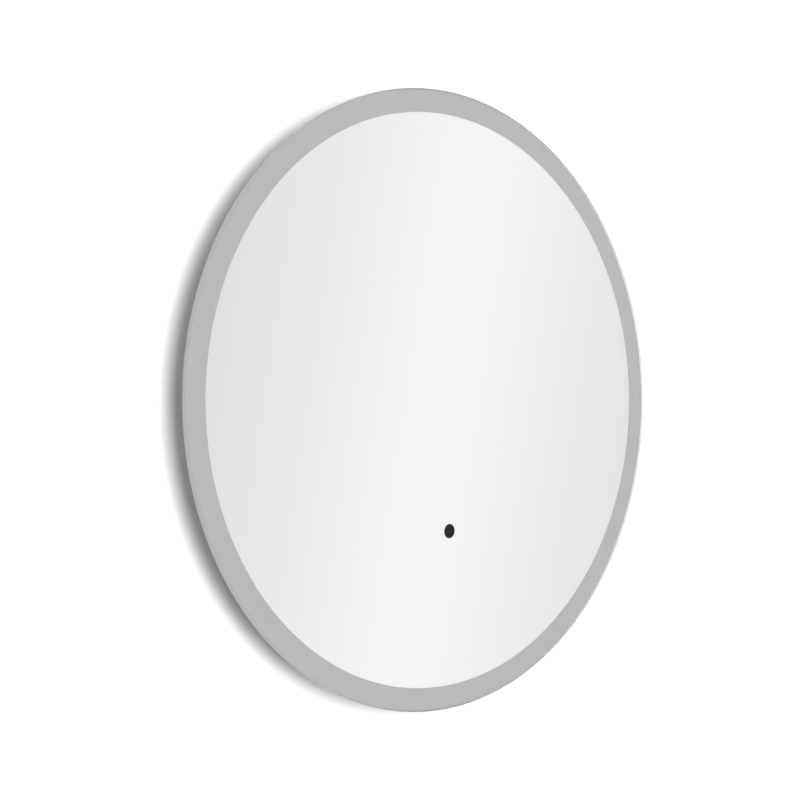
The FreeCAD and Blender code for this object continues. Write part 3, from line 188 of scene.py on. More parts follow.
cone = closed_poles(*turned([(0, 0), (1, 1)], (0, 0), 8, False))
print("two cones with 8 sides have", len(joined([cone, cone])[0]), "points")

# %% [markdown]
# ## Materials that are worked out, not painted
#
# Every finish is a node tree that reads Object coordinates, so a pattern has one true scale in
# metres all over the object. A few effects serve many finishes, and each is a node group that
# is built once: a fine moulded or sprayed grain, long brushed lines, and the faint marks that
# hands and dust leave. The groups only put out numbers. The shader itself stays in the material.

# %% Small helpers for node trees
def add(tree, kind, links=(), **settings):
    """Adds one node. settings are its properties, and links are (input, value or output socket)."""
    node = tree.nodes.new(kind)
    for name, value in settings.items():
        setattr(node, name, value)
    for name, value in links:
        if isinstance(value, bpy.types.NodeSocket):
            tree.links.new(value, node.inputs[name])
        else:
            node.inputs[name].default_value = value
    return node


def math_node(tree, operation, first, second=0.0, third=0.0):
    """One arithmetic step. Each value is a number or an output socket."""
    values = [(0, first), (1, second), (2, third)]
    return add(tree, "ShaderNodeMath", values, operation=operation).outputs[0]


def blend_colours(tree, mask, first, second):
    """first where the mask is 0 and second where it is 1. Each is (r, g, b) or an output socket."""
    first, second = (c if isinstance(c, bpy.types.NodeSocket) else (*c, 1) for c in (first, second))
    return add(tree, "ShaderNodeMix", [(0, mask), (6, first), (7, second)], data_type="RGBA").outputs[2]


def span(tree, value, low, high, new_low, new_high):
    """Stretches a value's span from low..high to new_low..new_high, and clamps it there."""
    return add(tree, "ShaderNodeMapRange", [("Value", value), ("From Min", low), ("From Max", high),
               ("To Min", new_low), ("To Max", new_high)]).outputs[0]


def noise(tree, place, scale, detail, **more):
    """Soft random clouds at this many to the metre."""
    values = [("Vector", place), ("Scale", scale), ("Detail", detail), *more.items()]
    return add(tree, "ShaderNodeTexNoise", values).outputs[0]


print("add, math_node, blend_colours, span and noise are ready")

# %% An empty group to fill
def new_group(name, scale, output):
    """An empty node group that takes coordinates and a scale, and puts out one number."""
    group = bpy.data.node_groups.new(name, "ShaderNodeTree")
    group.interface.new_socket("Vector", in_out="INPUT", socket_type="NodeSocketVector")
    socket = group.interface.new_socket("Scale", in_out="INPUT", socket_type="NodeSocketFloat")
    socket.default_value = scale
    group.interface.new_socket(output, in_out="OUTPUT", socket_type="NodeSocketFloat")
    start, end = group.nodes.new("NodeGroupInput"), group.nodes.new("NodeGroupOutput")
    return group, start.outputs["Vector"], start.outputs["Scale"], end.inputs[output]


print("a group has two inputs and one output")

# %% The shared effects
def make_grain():
    """Two layers of noise, one five times finer than the other, added as 0.65 and 0.35."""
    group, place, scale, out = new_group("fine_grain", 1500.0, "Height")
    coarse = noise(group, place, scale, 2.0)
    fine = noise(group, place, math_node(group, "MULTIPLY", scale, 5.0), 1.0)
    total = math_node(group, "MULTIPLY_ADD", coarse, 0.65, math_node(group, "MULTIPLY", fine, 0.35))
    group.links.new(total, out)
    return group


def make_brushed():
    """Noise whose coordinates are stretched a hundredfold along X, so that it draws long lines."""
    group, place, scale, out = new_group("brushed_lines", 2500.0, "Height")
    stretched = add(group, "ShaderNodeMapping", [("Vector", place), ("Scale", (0.01, 1, 1))]).outputs[0]
    group.links.new(noise(group, stretched, scale, 3.0, Roughness=0.7), out)
    return group


def make_marks():
    """Faint patches where hands and dust have been: broad noise, sharpened, times finer noise."""
    group, place, scale, out = new_group("handling_marks", 12.0, "Mask")
    patches = span(group, noise(group, place, scale, 3.0), 0.42, 0.68, 0.0, 1.0)
    fine = noise(group, place, math_node(group, "MULTIPLY", scale, 14.0), 2.0)
    group.links.new(math_node(group, "MULTIPLY", patches, fine), out)
    return group


GRAIN, BRUSHED, MARKS = make_grain(), make_brushed(), make_marks()
print("groups:", GRAIN.name, BRUSHED.name, MARKS.name)

# %% A material to start from
PRINCIPLED = "Principled BSDF"


def new_material(name, **constants):
    """A material, its node tree and Object coordinates. The constants are values that are the same
    all over, and go straight on the Principled shader's own sockets."""
    material = bpy.data.materials.new(name)
    material.use_nodes = True
    tree = material.node_tree
    for label, value in constants.items():
        tree.nodes[PRINCIPLED].inputs[label.replace("_", " ")].default_value = value
    print("material", name)
    return material, tree, add(tree, "ShaderNodeTexCoord").outputs["Object"]


def feed(tree, **outputs):
    """Links what changes over the surface to the Principled shader's inputs of the same names."""
    for label, output in outputs.items():
        tree.links.new(output, tree.nodes[PRINCIPLED].inputs[label.replace("_", " ")])


def effect(tree, group, place, scale):
    """The output of a shared effect at this scale."""
    node = add(tree, "ShaderNodeGroup", node_tree=group)
    tree.links.new(place, node.inputs["Vector"])
    node.inputs["Scale"].default_value = scale
    return node.outputs[0]


def bump(tree, height, strength, distance):
    """Lets a height field tilt the normal."""
    node = add(tree, "ShaderNodeBump", [("Height", height), ("Strength", strength), ("Distance", distance)])
    feed(tree, Normal=node.outputs[0])


def marked(tree, marks, share, clean, worn):
    """A colour with this share of the worn one where the marks are."""
    return blend_colours(tree, math_node(tree, "MULTIPLY", marks, share), clean, worn)


def about_centre(tree, place):
    """Distance from the mirror's axis, and the angle round it from -pi to pi."""
    moved = add(tree, "ShaderNodeVectorMath", [(0, place), (1, -axis)], operation="ADD").outputs[0]
    x, _, z = add(tree, "ShaderNodeSeparateXYZ", [(0, moved)]).outputs
    square = math_node(tree, "MULTIPLY_ADD", x, x, math_node(tree, "MULTIPLY", z, z))
    return math_node(tree, "SQRT", square), math_node(tree, "ARCTAN2", z, x)


print("the axis lies", round(-axis.z, 4), "below the slots")

# %% [markdown]
# ## Glass, silvering and the frosted band
#
# The mirror is a clear pane with a thin silver layer behind it. Light passes the clear glass
# twice, which gives the faint green of the real thing. The outer band has no silver: its back is
# etched, so it scatters light and looks a flat pale grey when the lamps are off. The silver layer
# is painted grey on its wall side. One material tells the two sides apart by their depth.

# %% Clear glass
def glass():
    """Clear glass, a little hazy on its ground rim, where its tint is greener and darker: partly the
    glass's own green seen edge-on, partly painted shade of the dark gap behind the edge. It bends
    light less than real glass (1.5), so that its front doesn't veil the dark window with a reflection
    of the pale room. Shadow rays pass it straight, so that lamps light what lies behind it."""
    material, tree, place = new_material("polished_pane", Transmission_Weight=1.0, IOR=1.2)
    radius, _ = about_centre(tree, place)
    rim = span(tree, radius, rim_start - 0.0001, rim_start + 0.0001, 0.0, 1.0)
    haze = span(tree, effect(tree, GRAIN, place, 300.0), 0.3, 0.7, 0.29, 0.33)
    # The rim's darker green tint is partly the glass's own edge-on green and partly painted shade of the gap
    # behind the edge.
    feed(tree, Base_Color=blend_colours(tree, rim, (0.987, 0.99, 0.985), (0.80, 0.87, 0.84)),
         Roughness=math_node(tree, "MULTIPLY", rim, haze))
    shadow_ray = add(tree, "ShaderNodeLightPath").outputs["Is Shadow Ray"]
    clear = add(tree, "ShaderNodeBsdfTransparent", [("Color", (0.96, 0.97, 0.96, 1))]).outputs[0]
    mixed = add(tree, "ShaderNodeMixShader", [(0, shadow_ray), (1, tree.nodes[PRINCIPLED].outputs[0]),
                (2, clear)])
    tree.links.new(mixed.outputs[0], tree.nodes["Material Output"].inputs["Surface"])
    return material


GLASS = glass()

# %% Silver and grey paint
def silvering():
    """Silver in front and grey paint behind, told apart by depth: only the layer's first twentieth
    of a millimetre is silver. The paint has the streaks of a curtain coater, which run one way."""
    material, tree, place = new_material("silver_and_paint")
    depth = add(tree, "ShaderNodeSeparateXYZ", [(0, place)]).outputs[1]
    silver = math_node(tree, "LESS_THAN", depth, glass_back + 0.00005)
    marks = effect(tree, MARKS, place, 9.0)
    streaks = effect(tree, BRUSHED, place, 700.0)
    paint = blend_colours(tree, streaks, (0.27, 0.28, 0.29), (0.36, 0.37, 0.38))
    paint = marked(tree, marks, 0.5, paint, (0.45, 0.45, 0.44))
    rough = span(tree, marks, 0.0, 1.0, 0.38, 0.6)
    feed(tree, Base_Color=blend_colours(tree, silver, paint, (0.95, 0.945, 0.94)), Metallic=silver,
         Roughness=math_node(tree, "MULTIPLY", rough, math_node(tree, "SUBTRACT", 1.0, silver)))
    return material


SILVER = silvering()

# %% Frost and the smoked window
def frost():
    """Etched glass: an even pale grey with a very fine grain, and a touch of mottle."""
    material, tree, place = new_material("etched_frost", Specular_IOR_Level=0.2)
    grain = effect(tree, GRAIN, place, 2600.0)
    colour = blend_colours(tree, grain, (0.428, 0.425, 0.428), (0.466, 0.463, 0.466))
    colour = marked(tree, effect(tree, MARKS, place, 5.0), 0.12, colour, (0.56, 0.56, 0.56))
    feed(tree, Base_Color=colour, Roughness=span(tree, grain, 0.3, 0.7, 0.55, 0.75))
    bump(tree, grain, 0.25, 0.00005)
    return material


def lens():
    """A smoked plastic window: near black with faint marks in its gloss."""
    material, tree, place = new_material("smoked_window", Specular_IOR_Level=0.05)
    marks = effect(tree, MARKS, place, 160.0)
    feed(tree, Base_Color=blend_colours(tree, marks, (0.002, 0.002, 0.002), (0.004, 0.004, 0.004)),
         Roughness=span(tree, marks, 0.0, 1.0, 0.12, 0.3))
    return material


FROST, LENS = frost(), lens()

# %% [markdown]
# ## Metals
#
# The hoop is a drawn aluminium section, bent to a ring and anodised, so its fine lines run round
# the ring. Turning the angle into a length lets the same straight-line effect follow the curve.
# The rails and screws are zinc plated, with the pale cloudy crystals of that plating, and the back
# is powder coated, which leaves a soft orange-peel surface.

# %% Drawn aluminium
def aluminium():
    """Satin anodised metal with drawing lines round the ring: the coordinates are turned into
    (angle times radius, depth, radius) before the line effect reads them."""
    material, tree, place = new_material("satin_hoop_metal", Metallic=1.0)
    radius, angle = about_centre(tree, place)
    depth = add(tree, "ShaderNodeSeparateXYZ", [(0, place)]).outputs[1]
    along = math_node(tree, "MULTIPLY", angle, frame_radius)
    unrolled = add(tree, "ShaderNodeCombineXYZ", [(0, along), (1, depth), (2, radius)]).outputs[0]
    lines = effect(tree, BRUSHED, unrolled, 5200.0)
    colour = blend_colours(tree, lines, (0.70, 0.70, 0.71), (0.80, 0.80, 0.81))
    colour = marked(tree, effect(tree, MARKS, place, 14.0), 0.3, colour, (0.62, 0.62, 0.61))
    feed(tree, Base_Color=colour, Roughness=span(tree, lines, 0.3, 0.7, 0.28, 0.44))
    bump(tree, lines, 0.12, 0.00004)
    return material


ALUMINIUM = aluminium()

# %% Zinc and other cloudy metals
def zinc(name="galvanised_sheet", crystal=220.0, bright=(0.74, 0.755, 0.77), dull=(0.60, 0.615, 0.63)):
    """A plated or soft metal: cloudy crystals, each with its own brightness and gloss, from a cell
    pattern with this many crystals to the metre."""
    material, tree, place = new_material(name, Metallic=1.0)
    cells = add(tree, "ShaderNodeTexVoronoi", [("Vector", place), ("Scale", crystal)])
    tone = add(tree, "ShaderNodeSeparateColor", [(0, cells.outputs["Color"])]).outputs[0]
    grain = effect(tree, GRAIN, place, 1800.0)
    shade = math_node(tree, "MULTIPLY_ADD", tone, 0.5, math_node(tree, "MULTIPLY", grain, 0.5))
    feed(tree, Base_Color=blend_colours(tree, shade, dull, bright),
         Roughness=span(tree, shade, 0.2, 0.8, 0.42, 0.26))
    bump(tree, grain, 0.15, 0.00005)
    return material


ZINC = zinc()
BRASS = zinc("bright_brass", 300.0, (0.83, 0.66, 0.33), (0.70, 0.54, 0.25))
RIVET = zinc("soft_rivet_metal", 500.0, (0.82, 0.82, 0.83), (0.72, 0.72, 0.73))
COPPER = zinc("bare_copper", 600.0, (0.82, 0.48, 0.32), (0.70, 0.38, 0.24))

# %% Powder coat
def powder_coat():
    """Sprayed polyester: soft orange peel about 1.5 mm across, with faint handling marks."""
    material, tree, place = new_material("sprayed_coat")
    peel = noise(tree, place, 650.0, 1.5)
    marks = effect(tree, MARKS, place, 11.0)
    colour = blend_colours(tree, peel, (0.80, 0.80, 0.79), (0.86, 0.86, 0.85))
    feed(tree, Base_Color=marked(tree, marks, 0.35, colour, (0.70, 0.69, 0.67)),
         Roughness=span(tree, marks, 0.0, 0.7, 0.42, 0.6))
    height = math_node(tree, "MULTIPLY_ADD", effect(tree, GRAIN, place, 2400.0), 0.3, peel)
    bump(tree, height, 0.22, 0.00012)
    return material


POWDER = powder_coat()

# %% [markdown]
# ## Plastics, rubber, boards and leads
#
# Moulded covers copy the spark-eroded grain of their mould. Rubber is matt and picks up dust.
# One function makes them all: what changes is the colour, the grain and how glossy it is.

# %% Moulded and rubber finishes
def moulded(name, colour, grain_scale, relief, smooth, rough, dusty=0.2):
    """A plain material with a fine relief, and roughness that follows the handling marks."""
    material, tree, place = new_material(name)
    grain = effect(tree, GRAIN, place, grain_scale)
    marks = effect(tree, MARKS, place, 25.0)
    base = np.array(colour)
    tone = blend_colours(tree, grain, tuple(base * 0.94), tuple(np.minimum(base * 1.06, 1)))
    worn = tuple(base * 0.8 + 0.2 * base.mean() + 0.012)
    feed(tree, Base_Color=marked(tree, marks, dusty, tone, worn),
         Roughness=span(tree, marks, 0.0, 0.8, smooth, rough))
    bump(tree, grain, relief, 0.0001)
    return material


HOUSING = moulded("moulded_housing", (0.80, 0.80, 0.79), 1500.0, 0.30, 0.42, 0.62)
DRIVER = moulded("moulded_driver", (0.74, 0.74, 0.73), 1300.0, 0.30, 0.45, 0.62)
SENSOR = moulded("moulded_sensor", (0.03, 0.03, 0.03), 1800.0, 0.35, 0.4, 0.6)
NYLON = moulded("waxy_nylon", (0.84, 0.82, 0.74), 900.0, 0.12, 0.3, 0.45)
RUBBER = moulded("soft_rubber", (0.035, 0.035, 0.035), 1600.0, 0.30, 0.6, 0.85, 0.5)
FOAM = moulded("open_foam", (0.10, 0.10, 0.10), 1100.0, 0.8, 0.9, 1.0)
STRIP = moulded("white_solder_mask", (0.83, 0.83, 0.80), 1200.0, 0.1, 0.3, 0.45)
LAMP_BODY = moulded("lamp_housing", (0.86, 0.85, 0.81), 1500.0, 0.06, 0.25, 0.4)
PHOSPHOR = moulded("yellow_gel", (0.86, 0.66, 0.10), 2200.0, 0.15, 0.18, 0.3)
COMPONENT = moulded("dark_component", (0.05, 0.05, 0.055), 1000.0, 0.12, 0.3, 0.5)
LEAD = moulded("white_insulation", (0.80, 0.80, 0.78), 1500.0, 0.08, 0.28, 0.42)
print("made", len(bpy.data.materials), "materials so far")

# %% Circuit board and striped lead
def board():
    """Green lacquer over copper: the edges of a cell pattern stand for the gaps between the tracks."""
    material, tree, place = new_material("lacquered_board")
    gaps = add(tree, "ShaderNodeTexVoronoi", [("Vector", place), ("Scale", 190.0)],
               feature="DISTANCE_TO_EDGE").outputs[0]
    track = span(tree, gaps, 0.05, 0.09, 0.0, 1.0)
    feed(tree, Base_Color=blend_colours(tree, track, (0.03, 0.16, 0.07), (0.06, 0.30, 0.13)),
         Roughness=span(tree, effect(tree, GRAIN, place, 900.0), 0.3, 0.7, 0.22, 0.36))
    bump(tree, track, 0.3, 0.00004)
    return material


def striped_lead():
    """Green insulation with a yellow stripe that winds along it: diagonal waves with hard edges."""
    material, tree, place = new_material("striped_insulation", Roughness=0.35)
    bands = add(tree, "ShaderNodeTexWave", [("Vector", place), ("Scale", 55.0), ("Distortion", 0.0)],
                bands_direction="DIAGONAL").outputs["Fac"]
    stripe = span(tree, bands, 0.48, 0.52, 0.0, 1.0)
    feed(tree, Base_Color=blend_colours(tree, stripe, (0.05, 0.30, 0.07), (0.85, 0.72, 0.05)))
    bump(tree, effect(tree, GRAIN, place, 2000.0), 0.08, 0.00005)
    return material


BOARD, EARTH_LEAD = board(), striped_lead()

# %% [markdown]
# ## The glass pane and its frosted band
#
# The pane is 5 mm float glass with a ground and polished rim: a flat wall with a small bevel at
# each side. It is one closed turned shape, because light must enter and leave a solid for glass
# to bend it. A hair of air parts it from the silver, since two faces in one place would flicker.
# The band is a thin ring right behind the pane, where the real glass is etched.

# %% Turn the pane
facets = 360  # steps round the mirror
air, slope = 0.00005, 0.35 * bevel
pane_back, pane_front = depths_of("glass_pane")
pane_back += air
pane_profile = [
    (0, pane_back), (rim_start, pane_back), (glass_radius - bevel / 2, pane_back + slope),
    (glass_radius, pane_back + bevel), (glass_radius, pane_front - bevel),
    (glass_radius - bevel / 2, pane_front - slope), (rim_start, pane_front), (0, pane_front)]
make_piece("pane", *closed_poles(*turned(pane_profile, hub, facets, False)), GLASS, "clear_glass",
           replaces=["glass_pane"])

# %% Lay the silver between its outer edge and the sensor's sight
def pierced_disc(radius, hole_radius, hole, back, front, steps, rows=16):
    """A thin disc with a round hole off its axis. Straight lines join the point at each angle of the
    hole's edge to the point at the same angle of the rim: (1 - t) hole(a) + t rim(a)."""
    angle = np.linspace(0, 2 * math.pi, steps, endpoint=False)
    around = np.stack([np.cos(angle), np.sin(angle)], -1)
    inner, outer = hole + hole_radius * around, hub + radius * around
    t = np.linspace(0, 1, rows)[:, None, None]
    flat = (1 - t) * inner + t * outer
    sheets = np.concatenate([flat, flat[::-1]])
    depth = np.repeat([back, front], rows)[:, None] * np.ones(steps)
    points = np.stack([sheets[..., 0], -depth, sheets[..., 1]], -1).reshape(-1, 3)
    return points, grid_faces(2 * rows, steps, True, True)


sight, sight_radius = middle_of("sensor_window"), 0.007
coat_back, coat_front = depths_of("mirror_coating")
make_piece("silver_layer", *pierced_disc(silver_radius, sight_radius, sight, coat_back, coat_front, facets),
           SILVER, "silvering", replaces=["mirror_coating"])

# %% Turn the frosted band
band_inner, band_outer = silver_radius + 0.00005, glass_radius - 0.0003
band_back, band_front = pane_back - 0.00015, pane_back - 0.00002
band_profile = [(band_inner, band_back), (band_outer, band_back), (band_outer, band_front),
                (band_inner, band_front)]
make_piece("frost_band", *turned(band_profile, hub, facets), FROST, "clear_glass")
print("band is", round(1000 * (glass_radius - band_inner), 1), "mm wide")

# %% [markdown]
# ## The aluminium hoop
#
# A drawn section is bent round and its two ends meet at the top with a hairline gap. The section
# has a flange that is glued to the glass, one for the back plate, and a small ledge that screens
# the light strip from the wall. Its corners are slightly round, which is what catches the light.

# %% Carry the hoop's section round
def swept_arc(profile, start, end, steps=facets + 1):
    """A profile carried round the hub from one angle to another, with a face over both ends."""
    points = carried_round(profile, hub, np.linspace(start, end, steps))
    first = range(0, len(profile) * steps, steps)
    last = [number + steps - 1 for number in reversed(first)]
    return points, grid_faces(len(profile), steps, True, False).tolist() + [first, last]


hoop_back, hoop_front = depths_of("ring_frame")
strip_low, strip_high = depths_of("led_strip")
wall, glue_flange, plate_flange, half_joint = 0.0016, 0.016, 0.012, 0.0003
inside, glued, plated = (frame_radius - width for width in (wall, glue_flange, plate_flange))
ledge_radius, ledge_gap, ledge_thickness = reach_of("ring_frame"), 0.0004, 0.0012
ledge_top = strip_low - ledge_gap
ledge_foot = ledge_top - ledge_thickness
section = round_corners([
    (glued, hoop_front - wall), (inside, hoop_front - wall), (inside, hoop_back + wall),
    (plated, hoop_back + wall), (plated, hoop_back), (frame_radius, hoop_back),
    (frame_radius, ledge_foot), (ledge_radius, ledge_foot), (ledge_radius, ledge_top),
    (frame_radius, ledge_top), (frame_radius, hoop_front), (glued, hoop_front)], 0.00035, 3)
joint = half_joint / frame_radius
make_piece("hoop", *swept_arc(section, 0.5 * math.pi + joint, 2.5 * math.pi - joint), ALUMINIUM,
           "anodised_aluminium", replaces=["ring_frame"])
print("hoop from depth", round(hoop_back, 4), "to", round(hoop_front, 4), "ledge at", round(ledge_radius, 4))

# %% [markdown]
# ## The light strip
#
# The strip is a flexible board with a lamp about every 18 mm. Each lamp is a small white box
# with a recess full of yellow gel. A resistor lies between two lamps, and every third gap also
# has two pairs of copper pads, where the strip may be cut. One small shape is worked out once,
# and numpy carries it to every place round the hoop.

# %% A small block, and copies of it round the strip
def capped_tube(rings, sides):
    """Faces of a tube, with one more face over each end."""
    faces = grid_faces(rings, sides, False, True).tolist()
    return faces + [range(sides)[::-1], range(sides * (rings - 1), sides * rings)]


def stack(layers):
    """A closed shape from rectangles with round corners that lie above each other. Each layer is
    (width, height, corner radius, level) in millimetres."""
    rings = []
    for width, height, corner, level in np.array(layers) * 0.001:
        u, v = width / 2, height / 2
        outline = round_corners([(u, -v), (u, v), (-u, v), (-u, -v)], corner, 3)
        rings.append(np.column_stack([outline, np.full(len(outline), level)]))
    return np.concatenate(rings), capped_tube(len(rings), len(rings[0]))


def round_strip(shape, angles, depth, shift=0.0):
    """Copies of a shape with points (u along the strip, v in depth, w out from its face, which has
    radius R): x = cx + (R + w) cos a - u sin a, z = cz + (R + w) sin a + u cos a, y = -(depth + v)."""
    points, faces = shape
    u, v, w = points.T
    u, w = u + shift, w + strip_radius
    a = np.asarray(angles)[:, None]
    x = axis.x + w * np.cos(a) - u * np.sin(a)
    z = axis.z + w * np.sin(a) + u * np.cos(a)
    y = np.broadcast_to(-(depth + v), x.shape)
    placed = np.stack([x, y, z], -1).reshape(-1, 3)
    step = len(points)
    return placed, [tuple(n + k * step for n in face) for k in range(len(angles)) for face in faces]


print("a lamp's gel has", len(stack([(2.5, 1.8, 0.6, 0.6), (2.2, 1.5, 0.6, 0.7)])[0]), "points")

# %% Lay the board and its lamps
strip_back, strip_middle = strip_radius - strip_thickness, (strip_low + strip_high) / 2
strip_profile = round_corners([(strip_back, strip_low), (strip_radius, strip_low),
                               (strip_radius, strip_high), (strip_back, strip_high)], 0.00008, 2)
end_gap, lamp_gap, lamp_count = 0.9, 3.6, 95  # the gaps are degrees, to each side of the lowest point
make_piece("light_strip", *swept_arc(strip_profile, math.radians(end_gap - 90), math.radians(270 - end_gap)),
           STRIP, "strip_white", replaces=["led_strip"])
lamps = np.radians(np.linspace(lamp_gap - 90, 270 - lamp_gap, lamp_count))
lamp_body = stack([(3.5, 2.8, 0.2, 0), (3.4, 2.7, 0.2, 0.8), (2.8, 2.1, 0.6, 0.8), (2.4, 1.7, 0.6, 0.55)])
lamp_gel = stack([(2.5, 1.8, 0.6, 0.6), (2.2, 1.5, 0.6, 0.7)])
for name, shape, material in (("lamp_bodies", lamp_body, LAMP_BODY), ("lamp_gel", lamp_gel, PHOSPHOR)):
    make_piece(name, *round_strip(shape, lamps, strip_middle), material, "lamp_phosphor",
               replaces=["led_chips"])

# %% Add the resistors and the copper pads
between = (lamps[1:] + lamps[:-1]) / 2
resistor = stack([(1.6, 0.8, 0.1, 0), (1.6, 0.8, 0.1, 0.45)])
resistor_drop, pad_reach, pad_apart = 0.0018, 0.0034, 0.0018
make_piece("strip_resistors", *round_strip(resistor, between, strip_middle - resistor_drop), COMPONENT,
           "component_dark")
pad = stack([(2.2, 1.8, 0.5, -0.1), (2.2, 1.8, 0.5, 0.04)])
make_piece("copper_pads", *joined([
    round_strip(pad, between[::3], strip_middle + side, along)
    for side in (-pad_reach, pad_reach) for along in (-pad_apart, pad_apart)]), COPPER, "terminal_brass")

# %% [markdown]
# ## Screws with a cross recess
#
# A pan head is a low dome, and its cross is pressed into it. On a grid of radius and angle the
# whole screw is one surface: the rows climb from the tip along the thread to the head, and the
# rows on the dome are pushed down wherever they lie inside the cross.

# %% A screw as one grid
def screw(sizes, turns=12, dome_rows=13, steps=64):
    """Rows of (radius, height) carried round, and on the dome lowered by the cross:
    w = height - depth * (inside the arms' width) * (inside the arms' length). The sizes are the
    head's radius and height and the shank's radius and length, in millimetres."""
    head_radius, head_height, shank_radius, shank_length = (0.001 * size for size in sizes)
    ridges = 2 * turns + 1
    valley = 0.86 * shank_radius
    thread = np.linspace(-shank_length, -0.0004, ridges)
    ridge = np.where(np.arange(ridges) % 2, shank_radius, valley)
    head = np.linspace(1, 0, dome_rows)
    dome = head_height * (0.62 + 0.38 * (1 - head**2.4))
    radius = np.concatenate([[0, shank_radius * 0.4], ridge,
                             [valley, head_radius * 0.97, head_radius], head_radius * head])
    height = np.concatenate([[-shank_length - 0.0004, -shank_length - 0.0003], thread,
                             [0, 0, head_height * 0.15], dome])
    angle = np.linspace(0, 2 * math.pi, steps, endpoint=False)
    u, v = radius[:, None] * np.cos(angle), radius[:, None] * np.sin(angle)
    thin = np.clip((0.19 * head_radius - np.minimum(abs(u), abs(v))) / (0.08 * head_radius), 0, 1)
    short = np.clip((0.62 * head_radius - np.hypot(u, v)) / (0.14 * head_radius), 0, 1)
    on_dome = (np.arange(len(radius)) >= len(radius) - dome_rows)[:, None]
    w = height[:, None] - 0.62 * head_height * thin * short * on_dome
    return np.stack([u, v, w], -1).reshape(-1, 3), grid_faces(len(radius), steps, False, True)


print("a screw has", len(screw((2.8, 1.8, 1.5, 5.5))[0]), "points")

# %% Point screws at the wall
def at_wall_side(shape, places, seat, turn):
    """Copies whose w axis points at the wall: x = cx + u, z = cz - v, y = -seat + w. Each copy is
    turned a little further than the last, as hand-driven screws are."""
    points, faces = shape
    parts = []
    for number, (x, z) in enumerate(places):
        a = turn + 2.4 * number
        u = points[:, 0] * math.cos(a) - points[:, 1] * math.sin(a)
        v = points[:, 0] * math.sin(a) + points[:, 1] * math.cos(a)
        parts.append(closed_poles(np.column_stack([x + u, -seat + points[:, 2], z - v]), faces))
    return joined(parts)


def two_corners(node, head):
    """Places for two screws in a box's corners, one head's radius in from its sides."""
    low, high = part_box(node)
    return [(high.x - head, low.z + head), (low.x + head, high.z - head)]


print("the bay has", len(two_corners("bay_screws", 0.0028)), "screws")

# %% Drive the screws where the frame has them
plate_seat = -plate_back
bay_seat, lid_seat = plate_seat - 0.0015, 0.0043
screw_ring = frame_radius - 0.006
plate_angles = [math.radians(15 + 60 * number) for number in range(6)]
plate_places = [(axis.x + screw_ring * math.cos(a), axis.z + screw_ring * math.sin(a)) for a in plate_angles]
screw_sets = [  # piece, node, sizes, places, seat, first turn, body
    ("pan_head_screws", "plate_screws", (2.8, 1.8, 1.5, 5.5), plate_places, plate_seat, 0.0, "mirror"),
    ("bay_fixing_screws", "bay_screws", (2.8, 1.8, 1.5, 4), two_corners("bay_screws", 0.0028),
     bay_seat, 0.7, "mirror"),
    ("driver_fixing_screws", "driver_screws", (3.8, 1.8, 2, 9.8), two_corners("driver_screws", 0.0038),
     plate_seat, 1.9, "mirror"),
    ("lid_closing_screw", "lid_screw", (2.8, 1.8, 1.2, 5.5), [middle_of("lid_screw")],
     lid_seat, 0.4, "bay_lid"),
]
for name, node, sizes, places, seat, turn, body in screw_sets:
    make_piece(name, *at_wall_side(screw(sizes), places, seat, turn), ZINC, "zinc_steel", body, [node])

# %% [markdown]
# ## Rivets, feet and the grommet
#
# A blind rivet has a domed head with a pit where its stem broke off. The rubber feet are a
# little hollow on the side that meets the wall, so that they grip, and the cable grommet has
# the round lips of moulded rubber. All of them are turned shapes with their own profiles, which
# are listed as (radius, depth) in millimetres.

# %% Turn the rivets, the feet and the grommet
def several(profile, places, steps):
    """The same turned shape at several centres, with its poles closed."""
    return joined([closed_poles(*turned(profile, place, steps, False)) for place in places])


head_depth, tail_depth = depths_of("hanger_rivets")
rivet_head = [(0, 1.1), (0.8, 1), (1, 0.1), (1.4, 0), (2.4, 0.15), (3.3, 0.45), (3.9, 0.9), (4, 1.1),
              (3.9, 1.2), (2, 1.2)]
rivet_tail = [(2, -1.2), (2.8, -0.8), (2.7, -0.2), (1.6, 0), (0, 0)]
rivet = np.concatenate([np.array(rivet_head) * 0.001 + (0, head_depth),
                        np.array(rivet_tail) * 0.001 + (0, tail_depth)])
rivet_places = [(x, middle_of("hanger_rivets")[1]) for x in (-0.12, -0.045, 0.045, 0.12)]
make_piece("domed_rivets", *several(rivet, rivet_places, 32), RIVET, "rivet_aluminium",
           replaces=["hanger_rivets"], crease=NO_CREASE)
foot = np.array([(0, 0.7), (5.5, 0.6), (6.6, 0), (7.6, 0), (8.4, 0.35), (8.9, 0.9), (9, 1.6), (9, 7.2),
                 (8.8, 7.7), (8.3, 8), (2.5, 8), (2.5, 9), (3.4, 9.05), (3.35, 9.6), (2.6, 11.1),
                 (2.1, 11.5), (0, 11.5)]) * 0.001
foot_places = [(x, middle_of("wall_bumpers")[1]) for x in (-0.11, 0.11)]
make_piece("rubber_feet", *several(foot, foot_places, 48), RUBBER, "black_rubber",
           replaces=["wall_bumpers"], crease=NO_CREASE)
grommet = np.array([(3.75, 0.4), (4.2, 0), (6.6, 0), (7.3, 0.3), (8.1, 1.1), (8.4, 1.4), (6.2, 1.4),
                    (6.2, 4), (5.9, 4.3), (4.1, 4.3), (3.75, 3.9)]) * 0.001
grommet[:, 1] += depths_of("cable_grommet")[0]
make_piece("grommet_ring", *turned(grommet, middle_of("cable_grommet"), 48), RUBBER, "black_rubber",
           replaces=["cable_grommet"], crease=NO_CREASE)

# %% [markdown]
# ## Round leads
#
# A sheathed lead is stiff for its length: between two clips it runs nearly straight, and it
# turns in arcs that it can take without a kink. So a route here is a few corners joined by
# straight runs and tangent arcs, and a circle is carried along it. The frame's own leads are
# eight-sided tubes on the same routes.

# %% Round the corners of a route
def unit(vectors):
    """The same directions with a length of one."""
    return vectors / np.linalg.norm(vectors, axis=1)[:, None]


